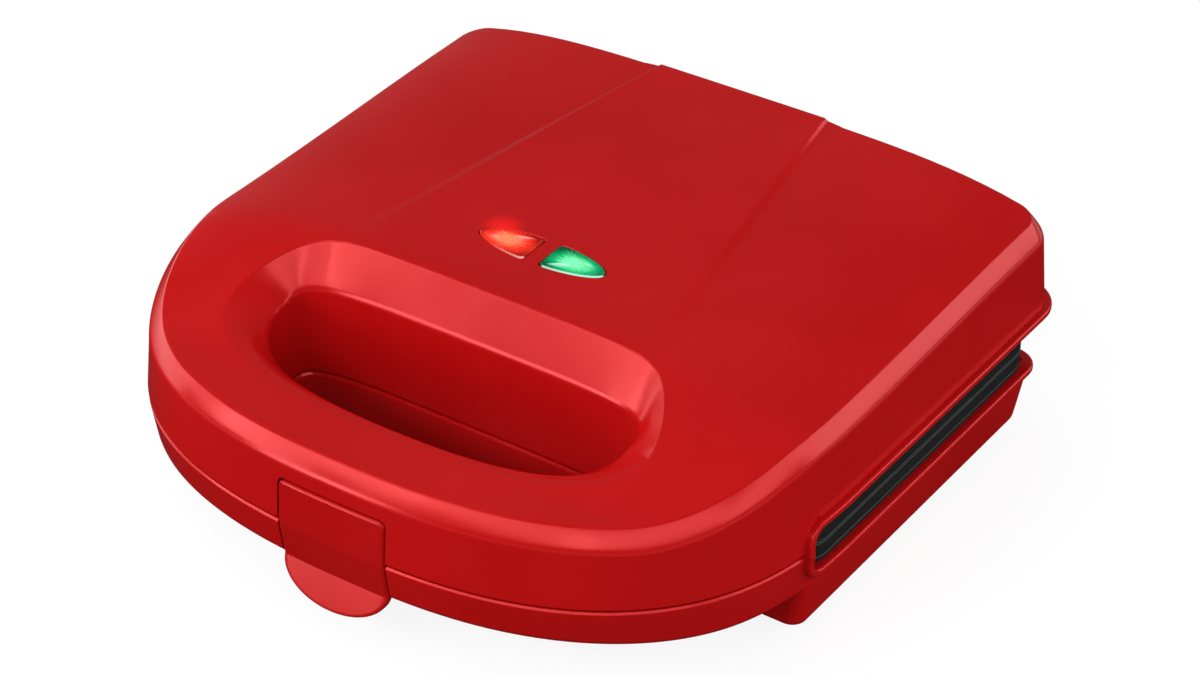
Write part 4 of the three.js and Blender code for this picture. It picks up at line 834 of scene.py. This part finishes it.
def latch_surface(x, z):
    """Depth of the latch's outer face: it follows the walls, and the tab flares forward."""
    draft = LID_DRAFT * (z - SEAM) if z > SEAM else BASE_DRAFT * (SEAM - max(z, LATCH_BOTTOM))
    inset = draft - LATCH_PROUD
    reach = FRONT_REACH - inset
    share = min(abs(x) / (HALF_WIDTH - inset), 1)
    depth = -reach * (1 - share ** FRONT_FULLNESS) ** (1 / FRONT_FULLNESS)
    if z < LATCH_BOTTOM:
        drop = (LATCH_BOTTOM - z) / TAB_LENGTH
        flat = -reach
        depth += (flat - depth) * TAB_FLATTENING * drop - TAB_FLARE * drop
    return depth


def latch_half(z):
    """Half width at a height: rounded corners on top, half an ellipse for the tab."""
    if z < LATCH_BOTTOM:
        return LATCH_HALF * math.sqrt(max(1 - ((LATCH_BOTTOM - z) / TAB_LENGTH) ** 2, 0))
    up = max(z - (LATCH_TOP - LATCH_CORNER), 0)
    return LATCH_HALF - LATCH_CORNER + math.sqrt(max(LATCH_CORNER ** 2 - up ** 2, 0))


def latch_inset(x, z):
    """How far inside the latch's outline a point of its face lies."""
    across, up = LATCH_HALF - abs(x), LATCH_TOP - z
    if z < LATCH_BOTTOM:
        down = LATCH_BOTTOM - z
        share = math.hypot(x / LATCH_HALF, down / TAB_LENGTH)
        return (1 - share) * share / math.hypot(x / LATCH_HALF ** 2, down / TAB_LENGTH ** 2)
    if max(across, up) < LATCH_CORNER:
        return LATCH_CORNER - math.hypot(LATCH_CORNER - across, LATCH_CORNER - up)
    return min(across, up)


def latch_rows():
    """Heights of the latch's level rows, close together where its outline bends."""
    tab = [LATCH_BOTTOM - TAB_LENGTH * math.sin(a) for a in np.linspace(TAB_TIP, 0, 26)]
    straight = list(np.linspace(LATCH_BOTTOM, LATCH_TOP - LATCH_CORNER, 14)[1:])
    turns = np.linspace(0, math.pi / 2, 14)[1:]
    return tab + straight + [LATCH_TOP - LATCH_CORNER * (1 - math.sin(a)) for a in turns]


def latch_row(z):
    """The latch's section at a height, with its edges rounded towards its outer face."""
    thickness = LATCH_THICKNESS if z > LATCH_BOTTOM + TAB_ROOT else TAB_THICKNESS
    front, back = [], []
    for x in latch_half(z) * np.sin(np.linspace(-math.pi / 2, math.pi / 2, 37)):
        near = max(LATCH_EDGE - latch_inset(x, z), 0)
        sink = LATCH_EDGE - math.sqrt(max(LATCH_EDGE ** 2 - near ** 2, 0))
        depth = latch_surface(x, z)
        front.append((x, depth + sink, z))
        back.append((x, depth + thickness, z))
    return np.array(front + back[::-1])


def latch():
    """The hanging front piece, with a barrel for its pin and a hook on its back."""
    radius, end = LATCH_TOP - LATCH_PIN_HEIGHT, LATCH_HALF - LATCH_CORNER
    pin_depth = -FRONT_REACH + LID_DRAFT * (LATCH_PIN_HEIGHT - SEAM) + LATCH_PIN_INSET
    back = -FRONT_REACH + BASE_DRAFT * (SEAM - NOSE[1]) + LATCH_THICKNESS - LATCH_PROUD
    depths = (back - LATCH_THICKNESS / 2, back + NOSE_REACH)
    return smooth(join(
        loft([latch_row(z) for z in latch_rows()]),
        bar_along_x(radius, -end, end, pin_depth, LATCH_PIN_HEIGHT),
        block((-NOSE_HALF, NOSE_HALF), depths, NOSE),
    ))


# Lamps

RIBS, RIB_HEIGHT = 42, 0.12
RIB_START, RIB_RAMP, RIB_END = 0.2, 0.3, 0.06  # shares of the way out, and of the fades
DOME_HEIGHT = 0.6
DOME_SHARES = (0.96, 0.9, 0.8, 0.7, 0.6, 0.5, 0.4, 0.3, 0.2, 0.1, 0.01)  # of the way out
# The cap's rim, from its foot to the groove inside it: inset and rise
LENS_RIM = ((0, 0.0), (0.06, 0.16), (0.2, 0.34), (0.4, 0.4), (0.6, 0.33), (0.8, 0.16), (1.05, 0.1))


def lens(mirror):
    """A clear cap: a raised rim, and inside it a dome with ribs that fan out from its middle."""
    plan = lens_curve(mirror, 0)
    centre = np.array([mirror * (LENS_INNER + LENS_OUTER) / 2, LENS_DEPTH])
    surface = lid_top(plan) + panel_lift(plan)
    rings = [at_height(plan, LENS_FOOT)]
    for inset, rise in LENS_RIM:
        rings.append(at_height(lens_curve(mirror, -inset), surface + rise))
    groove, floor_rise = LENS_RIM[-1]
    last = lens_curve(mirror, -groove)
    wave = np.cos(np.arange(len(plan)) / len(plan) * RIBS * 2 * math.pi)
    for share in DOME_SHARES:
        dome = floor_rise + DOME_HEIGHT * (1 - share ** 2)
        fade_in, fade_out = (share - RIB_START) / RIB_RAMP, (1 - share) / RIB_END
        ribs = RIB_HEIGHT * np.clip(fade_in, 0, 1) * np.clip(fade_out, 0, 1)
        rings.append(at_height(centre + (last - centre) * share, surface + dome + ribs * wave))
    return smooth(loft(rings), 40)


# Materials

# A painted glow of the red lamp on the lid's plastic: its middle, reach and strength
SPILL_CENTRE = (-17.5, 12.2, 74.3)
SPILL_REACH, SPILL_CORE = 0.0085, 0.001  # metres
SPILL_STRENGTH = 0.42
# Painted highlights on the plates: thin lighter lines at the heights of their edges
EDGE_HIGHLIGHT_HEIGHTS, EDGE_HIGHLIGHT_HALF = (0.0316, 0.0324, 0.0271), 0.00014  # metres: the plates' edges
GLOW_SCALE = np.array((95.0, 155.0, 0.0))  # per metre: along the cap, across it, up
GLOW_PLACE, GLOW_FORWARD = 0.47, 0.4  # its middle on the cap
HIGHLIGHT_FACING, HIGHLIGHT_SPAN = (0.57, -0.82, 0), (0.6, 0.9)  # a painted highlight: faces of a cap turned this way, to the front right where the camera stands, glow in the pale tint


def new_material(name):
    material = bpy.data.materials.new(name)
    material.use_nodes = True
    tree = material.node_tree
    return material, tree, tree.nodes["Principled BSDF"]


def feed(tree, node, inputs):
    """Gives a node its inputs, each a constant or another node's output."""
    for key, value in inputs.items():
        if isinstance(value, bpy.types.NodeSocket):
            tree.links.new(value, node.inputs[key])
        else:
            node.inputs[key].default_value = value
    return node


def add(tree, kind, inputs, operation=None):
    node = tree.nodes.new("ShaderNode" + kind)
    if operation:
        node.operation = operation
    return feed(tree, node, inputs)


def math_node(tree, operation, *values):
    return add(tree, "Math", dict(enumerate(values)), operation).outputs[0]


def measure(tree, operation, source, constant=(0, 0, 0)):
    """A vector's length, or its distance from or dot product with a constant one."""
    return add(tree, "VectorMath", {0: source, 1: constant}, operation).outputs["Value"]


def eased_range(tree, value, start, end, top=1.0):
    """From 0 at the start to a top value at the end, eased at both."""
    inputs = {"Value": value, "From Min": start, "From Max": end, "To Max": top}
    made = add(tree, "MapRange", inputs)
    made.interpolation_type = "SMOOTHSTEP"
    return made.outputs["Result"]


def place_on(tree, output="Object"):
    """Where a point lies on its object, in metres, or how its surface faces."""
    return tree.nodes.new("ShaderNodeTexCoord").outputs[output]


def noise(tree, scale, detail=3.0, roughness=0.5):
    """Noise that sits on the object, in its own metres."""
    inputs = {"Scale": scale, "Detail": detail, "Roughness": roughness, "Vector": place_on(tree)}
    return add(tree, "TexNoise", inputs).outputs["Fac"]


def bump(tree, height, strength, distance):
    inputs = {"Strength": strength, "Distance": distance, "Height": height}
    return add(tree, "Bump", inputs).outputs["Normal"]


def ramp(tree, source, stops):
    """Maps a value to colours, by stops of place and colour."""
    made = add(tree, "ValToRGB", {"Fac": source})
    while len(made.color_ramp.elements) < len(stops):
        made.color_ramp.elements.new(0.5)
    for element, (place, colour) in zip(made.color_ramp.elements, stops):
        element.position = place
        element.color = (*colour, 1)
    return made.outputs["Color"]


def between(tree, source, low, high, span=(0.3, 0.7)):
    """From one colour to another with a value, over a span of it."""
    return ramp(tree, source, list(zip(span, (low, high))))


def tinted(tree, share, source, colour):
    """A colour output, and over it, by a share, a plain colour."""
    made = tree.nodes.new("ShaderNodeMix")
    made.data_type = "RGBA"
    feed(tree, made, {"Factor": share, "A": source, "B": (*colour, 1)})
    return made.outputs["Result"]


def grey(value):
    return (value, value, value)


def painted_lamp_glow(tree):
    """A painted glow of the red lamp's light in the plastic close behind it, fading out over a few
    millimetres.
    """
    away = measure(tree, "DISTANCE", place_on(tree), to_frame([SPILL_CENTRE])[0])
    return eased_range(tree, away, SPILL_REACH, SPILL_CORE, SPILL_STRENGTH)


def red_plastic(name, dark, light, roughness=0.2):
    """Glossy moulded plastic: faint flow in the colour, uneven gloss and a fine orange peel, with a
    painted red glow close behind the red lamp.
    """
    material, tree, shader = new_material(name)
    flow, haze, peel = noise(tree, 14, 2), noise(tree, 60, 4), noise(tree, 900, 2)
    gloss = (grey(roughness - 0.03), grey(roughness + 0.05))
    feed(tree, shader, {
        "Base Color": between(tree, flow, dark, light),
        "Roughness": between(tree, haze, *gloss, (0.3, 0.75)),
        "Metallic": 0.15,
        "Specular IOR Level": 0.2,
        # the painted red glow close behind the red lamp, given off by the plastic itself
        "Emission Color": (1, 0.01, 0.01, 1),
        "Emission Strength": painted_lamp_glow(tree),
        "Normal": bump(tree, peel, 0.022, 0.0004),
    })
    return material


def painted_edge_highlights(tree):
    """1 in a thin line at the height of each of the plates' edges, and 0 elsewhere: the mask of their
    painted highlights.
    """
    height = add(tree, "SeparateXYZ", {"Vector": place_on(tree)}).outputs["Z"]
    lines = 0.0
    for edge in EDGE_HIGHLIGHT_HEIGHTS:
        line = math_node(tree, "COMPARE", height, edge, EDGE_HIGHLIGHT_HALF)
        lines = math_node(tree, "MAXIMUM", lines, line)
    return lines


def plate_coating(name):
    """Near-black coating with a fine speckle, with painted highlights in thin lighter lines along the
    plates' edges.
    """
    material, tree, shader = new_material(name)
    speckle, wear = noise(tree, 2600, 3), noise(tree, 120, 4)
    colour = between(tree, speckle, (0.006, 0.009, 0.0085), (0.016, 0.021, 0.02), (0.35, 0.75))
    feed(tree, shader, {
        # a lighter grey in thin lines at the plates' edges: painted highlights
        "Base Color": tinted(tree, painted_edge_highlights(tree), colour, (0.09, 0.1, 0.1)),
        "Specular IOR Level": 0.1,
        "Roughness": between(tree, wear, grey(0.48), grey(0.6)),
        "Normal": bump(tree, speckle, 0.12, 0.0002),
    })
    return material


def grained(name, dark, light, gloss, texture, relief, metallic=0):
    """A surface whose tone, gloss and relief follow one grain."""
    material, tree, shader = new_material(name)
    grain = noise(tree, *texture)
    feed(tree, shader, {
        "Base Color": between(tree, grain, dark, light),
        "Roughness": between(tree, grain, *map(grey, gloss)),
        "Metallic": metallic,
        "Normal": bump(tree, grain, *relief),
    })
    return material


def metal(name, dark, light, roughness, scale):
    """Bare metal with fine streaks in its tone and gloss."""
    gloss = (roughness - 0.06, roughness + 0.08)
    return grained(name, dark, light, gloss, (scale, 5, 0.6), (0.08, 0.0002), 1)


def matt(name, dark, light, roughness, scale=700, strength=0.15):
    """A dull moulded or fired surface with a fine grain."""
    gloss = (roughness - 0.05, roughness + 0.05)
    return grained(name, dark, light, gloss, (scale, 4), (strength, 0.0003))


def glow_reach(tree, mirror, grain):
    """How far out from the glow's middle a point of a cap lies, with ragged edges and spokes."""
    along = mirror * (LENS_INNER + LENS_OUTER) * GLOW_PLACE
    middle = to_frame([(along, LENS_DEPTH - GLOW_FORWARD, 0)])[0]
    squeeze = add(tree, "Mapping", {
        "Vector": place_on(tree), "Scale": GLOW_SCALE, "Location": -middle * GLOW_SCALE,
    }).outputs["Vector"]
    turn = add(tree, "TexGradient", {"Vector": squeeze})
    turn.gradient_type = "RADIAL"
    angle = math_node(tree, "MULTIPLY", turn.outputs["Fac"], 2 * math.pi * RIBS)
    spokes = math_node(tree, "MULTIPLY", math_node(tree, "SINE", angle), 0.07)
    ragged = math_node(tree, "MULTIPLY_ADD", grain, 0.34, -0.17)
    ragged = math_node(tree, "ADD", ragged, spokes)
    return math_node(tree, "ADD", measure(tree, "LENGTH", squeeze), ragged)


def lens_material(name, mirror, edge, body, heart, highlight_tint):
    """Tinted clear plastic lit from below: a bright heart and a darker border, and a painted
    highlight, a paler glow on faces turned to the front right.
    """
    material, tree, shader = new_material(name)
    grain = noise(tree, 1500, 4, 0.7)
    reach = glow_reach(tree, mirror, grain)
    glow = ramp(tree, reach, [(0.0, heart), (0.22, heart), (0.58, body), (0.98, edge)])
    facing = measure(tree, "DOT_PRODUCT", place_on(tree, "Normal"), HIGHLIGHT_FACING)
    feed(tree, shader, {
        "Base Color": between(tree, reach, body, edge, (0.0, 1.0)),
        # a painted highlight: the glow turns pale where a face looks to the front right
        "Emission Color": tinted(tree, eased_range(tree, facing, *HIGHLIGHT_SPAN), glow, highlight_tint),
        "Emission Strength": 0.8,
        "Roughness": 0.07,
        "Specular IOR Level": 0.45,
        "Specular Tint": (*highlight_tint, 1),
        "Normal": bump(tree, grain, 0.12, 0.0003),
    })
    return material


# How each finish is made, and from what
FINISHES = {
    "red_plastic": (red_plastic, (0.45, 0.0035, 0.004), (0.51, 0.006, 0.0065)),
    "latch_plastic": (red_plastic, (0.42, 0.003, 0.0033), (0.48, 0.006, 0.0065), 0.22),
    "plate_coating": (plate_coating,),
    "steel": (metal, (0.22, 0.22, 0.225), (0.34, 0.34, 0.345), 0.42, 400),
    # a darker copy of the steel, for the latch pin only: painted shade in the gap beside the latch
    "blued_steel": (metal, (0.02, 0.02, 0.022), (0.04, 0.04, 0.045), 0.5, 400),
    "element_steel": (metal, (0.2, 0.19, 0.18), (0.36, 0.34, 0.32), 0.4, 300),
    "aluminium": (metal, (0.68, 0.69, 0.7), (0.82, 0.83, 0.84), 0.28, 200),
    "rubber": (matt, (0.012, 0.012, 0.012), (0.03, 0.03, 0.03), 0.75),
    "ceramic": (matt, (0.7, 0.67, 0.6), (0.82, 0.8, 0.75), 0.55),
    "black_plastic": (matt, (0.015, 0.015, 0.016), (0.035, 0.035, 0.037), 0.55),
    "lamp_glass": (matt, (0.8, 0.6, 0.45), (0.95, 0.8, 0.66), 0.15, 300, 0.05),
    # a lens's last colour tints its highlights and paints the pale highlight on faces turned to the
    # front right
    "red_lens": (
        lens_material, -1, (0.2, 0.002, 0.001), (0.8, 0.03, 0.012), (1.0, 0.3, 0.13), (1.0, 0.5, 0.45)
    ),
    "green_lens": (
        lens_material, 1, (0.0, 0.05, 0.02), (0.0, 0.4, 0.13), (0.3, 0.95, 0.5), (0.6, 1.0, 0.85)
    ),
}
MATERIALS = {name: make(name, *values) for name, (make, *values) in FINISHES.items()}


def dress_nodes():
    """Gives every node of the part the procedural material of its slot."""
    for row in frame["record"]["subparts"]:
        node = frame["nodes"][row["node"]]
        # the latch pin takes the darker steel, painted shade in the gap beside the latch, instead of
        # its slot's finish
        finish = "blued_steel" if row["node"] == "latch_pin" else row["material_slot"]
        if not node.material_slots:
            node.data.materials.append(MATERIALS[finish])
        for slot in node.material_slots:
            slot.material = MATERIALS[finish]


def dress(name, piece, body, slot, node):
    """A new piece's name and finish, the body it moves with and the node it stands for."""
    piece.name = piece.data.name = name
    piece.data.materials.clear()
    piece.data.materials.append(MATERIALS[slot])
    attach(piece, body)
    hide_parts(node)


# Light, floor and camera

# The photograph's view, from the fit of its outlines
VIEW_AZIMUTH, VIEW_ELEVATION = 34.752, 33.577  # degrees, from the front towards the right
VIEW_TARGET, VIEW_DISTANCE = (4.265, 31.7, 34.0), 0.935619  # millimetres, metres
FOCAL_PIXELS, PHOTO_WIDTH = 3068.688, 1200
SENSOR_WIDTH = 36


def outward(azimuth, elevation):
    """The direction that lies at an azimuth and an elevation, in degrees."""
    a, e = math.radians(azimuth), math.radians(elevation)
    return Vector((math.sin(a) * math.cos(e), -math.cos(a) * math.cos(e), math.sin(e)))


def aimed(name, data, place, direction):
    """A camera or lamp at a place, turned to look along a direction."""
    made = bpy.data.objects.new(name, data)
    made.location = place
    made.rotation_mode = "QUATERNION"
    made.rotation_quaternion = direction.to_track_quat("-Z", "Y")
    bpy.context.scene.collection.objects.link(made)
    return made


def camera():
    back = outward(VIEW_AZIMUTH, VIEW_ELEVATION)
    data = bpy.data.cameras.new("camera")
    data.sensor_width = SENSOR_WIDTH
    data.lens = FOCAL_PIXELS / PHOTO_WIDTH * SENSOR_WIDTH
    data.clip_start, data.clip_end = 0.05, 20
    place = Vector(to_frame([VIEW_TARGET])[0]) + back * VIEW_DISTANCE
    bpy.context.scene.camera = aimed("camera", data, place, -back)


def area_light(name, place, aim, size, power_watts):
    data = bpy.data.lights.new(name, "AREA")
    data.shape = "RECTANGLE"
    data.size, data.size_y = size
    data.energy = power_watts
    return aimed(name, data, place, Vector(aim) - Vector(place))


FLOOR_HALF = 6
# In reflections the floor takes the darker tone and, close to the middle, loses its glow: painted
# shadow
FLOOR_TONES = (0.15, 0.02)  # lit, and as reflections show it
FLOOR_GLOW = 0.87  # with the light that falls on the floor, this makes it white
FLOOR_SHADED, FLOOR_OPEN = 0.3, 0.8  # distances from the middle between which it brightens
WORLD_LIGHT = 0.18


def floor_glow(tree, path):
    """White for the camera, and for reflections too, but in reflections a painted shadow darkens the
    floor close by.
    """
    reach = measure(tree, "LENGTH", place_on(tree))
    away = eased_range(tree, reach, FLOOR_SHADED, FLOOR_OPEN)
    glossy, through = path["Is Glossy Ray"], path["Is Transmission Ray"]
    faded = math_node(tree, "MULTIPLY", math_node(tree, "MAXIMUM", glossy, through), away)
    white = math_node(tree, "MAXIMUM", away, FLOOR_GLOW)
    seen = math_node(tree, "MULTIPLY", path["Is Camera Ray"], white)
    return math_node(tree, "MAXIMUM", seen, faded)


def floor():
    """A plain pale floor that shows white and keeps the part's shadow."""
    corners = [(x * FLOOR_HALF, y * FLOOR_HALF, 0) for x, y in ((-1, -1), (1, -1), (1, 1), (-1, 1))]
    mesh = bpy.data.meshes.new("floor")
    mesh.from_pydata(corners, [], [(0, 1, 2, 3)])
    plane = bpy.data.objects.new("floor", mesh)
    bpy.context.scene.collection.objects.link(plane)
    material, tree, shader = new_material("floor")
    path = tree.nodes.new("ShaderNodeLightPath").outputs
    feed(tree, shader, {
        # darker where reflections see it: painted shade
        "Base Color": between(tree, path["Is Glossy Ray"], *map(grey, FLOOR_TONES), (0.0, 1.0)),
        "Roughness": 0.9,
        "Specular IOR Level": 0.1,
        "Emission Color": (1, 1, 1, 1),
        "Emission Strength": floor_glow(tree, path),
    })
    mesh.materials.append(material)


def world():
    """White for the camera, and a faint light from all round."""
    studio_world = bpy.data.worlds.new("studio")
    studio_world.use_nodes = True
    tree = studio_world.node_tree
    seen = tree.nodes.new("ShaderNodeLightPath").outputs["Is Camera Ray"]
    strength = math_node(tree, "MAXIMUM", seen, WORLD_LIGHT)
    feed(tree, tree.nodes["Background"], {"Color": (1, 1, 1, 1), "Strength": strength})
    bpy.context.scene.world = studio_world


# Strip lights round the front, low down: azimuth from the front towards the right,
# elevation, width and height in degrees, brightness of its face
STRIPS = (
    (-95, 6, 50, 14, 3.0),
    (-62, 19, 28, 15, 2.9),
    (-36, 29, 25, 12, 5.7),
    (-46, 18, 20, 10, 6.8),
    (-32, 6, 17, 16, 11.0),
    (2, 36, 50, 14, 4.3),
    (-38, 54, 26, 10, 5.0),
    (48, 36, 40, 12, 4.3),
    (95, 28, 42, 15, 4.0),
    (137, 16, 40, 20, 4.4),
)
STRIP_DISTANCE, STRIP_LEVEL = 1.3, 0.78
# Soft lights that don't show in reflections: place, aim, size and watts
FILLS = {
    "overhead": ((-0.8, 0.55, 1.45), (0, 0, 0.03), (2.0, 1.6), 12.0),
    "front_fill": ((-0.45, -1.15, 0.88), (0, 0, 0.03), (1.2, 0.3), 3.7),
    "right_fill": ((1.2, -0.2, 0.16), (0.05, 0, 0.03), (1.0, 0.25), 4.0),
}


def studio():
    floor()
    world()
    centre = Vector((0, 0, 0.05))
    for i, (azimuth, elevation, wide, tall, bright) in enumerate(STRIPS):
        place = centre + outward(azimuth, elevation) * STRIP_DISTANCE
        size = [2 * STRIP_DISTANCE * math.tan(math.radians(s) / 2) for s in (wide, tall)]
        watts = STRIP_LEVEL * bright * math.pi * size[0] * size[1]
        area_light(f"strip_{i}", place, centre, size, watts)
    for name, settings in FILLS.items():
        area_light(name, *settings).visible_glossy = False
    bpy.context.scene.view_settings.view_transform = "Standard"


# Assembly

dress_nodes()
dress("lid_shell_skin", lid_shell(), "lid", "red_plastic", "lid_shell")
dress("base_shell_skin", base_shell(), "base", "red_plastic", "base_shell")
dress("latch_body", latch(), "latch", "latch_plastic", "latch")
dress("red_lens_cap", lens(-1), "lid", "red_lens", "red_lens")
dress("green_lens_cap", lens(1), "lid", "green_lens", "green_lens")
studio()
camera()
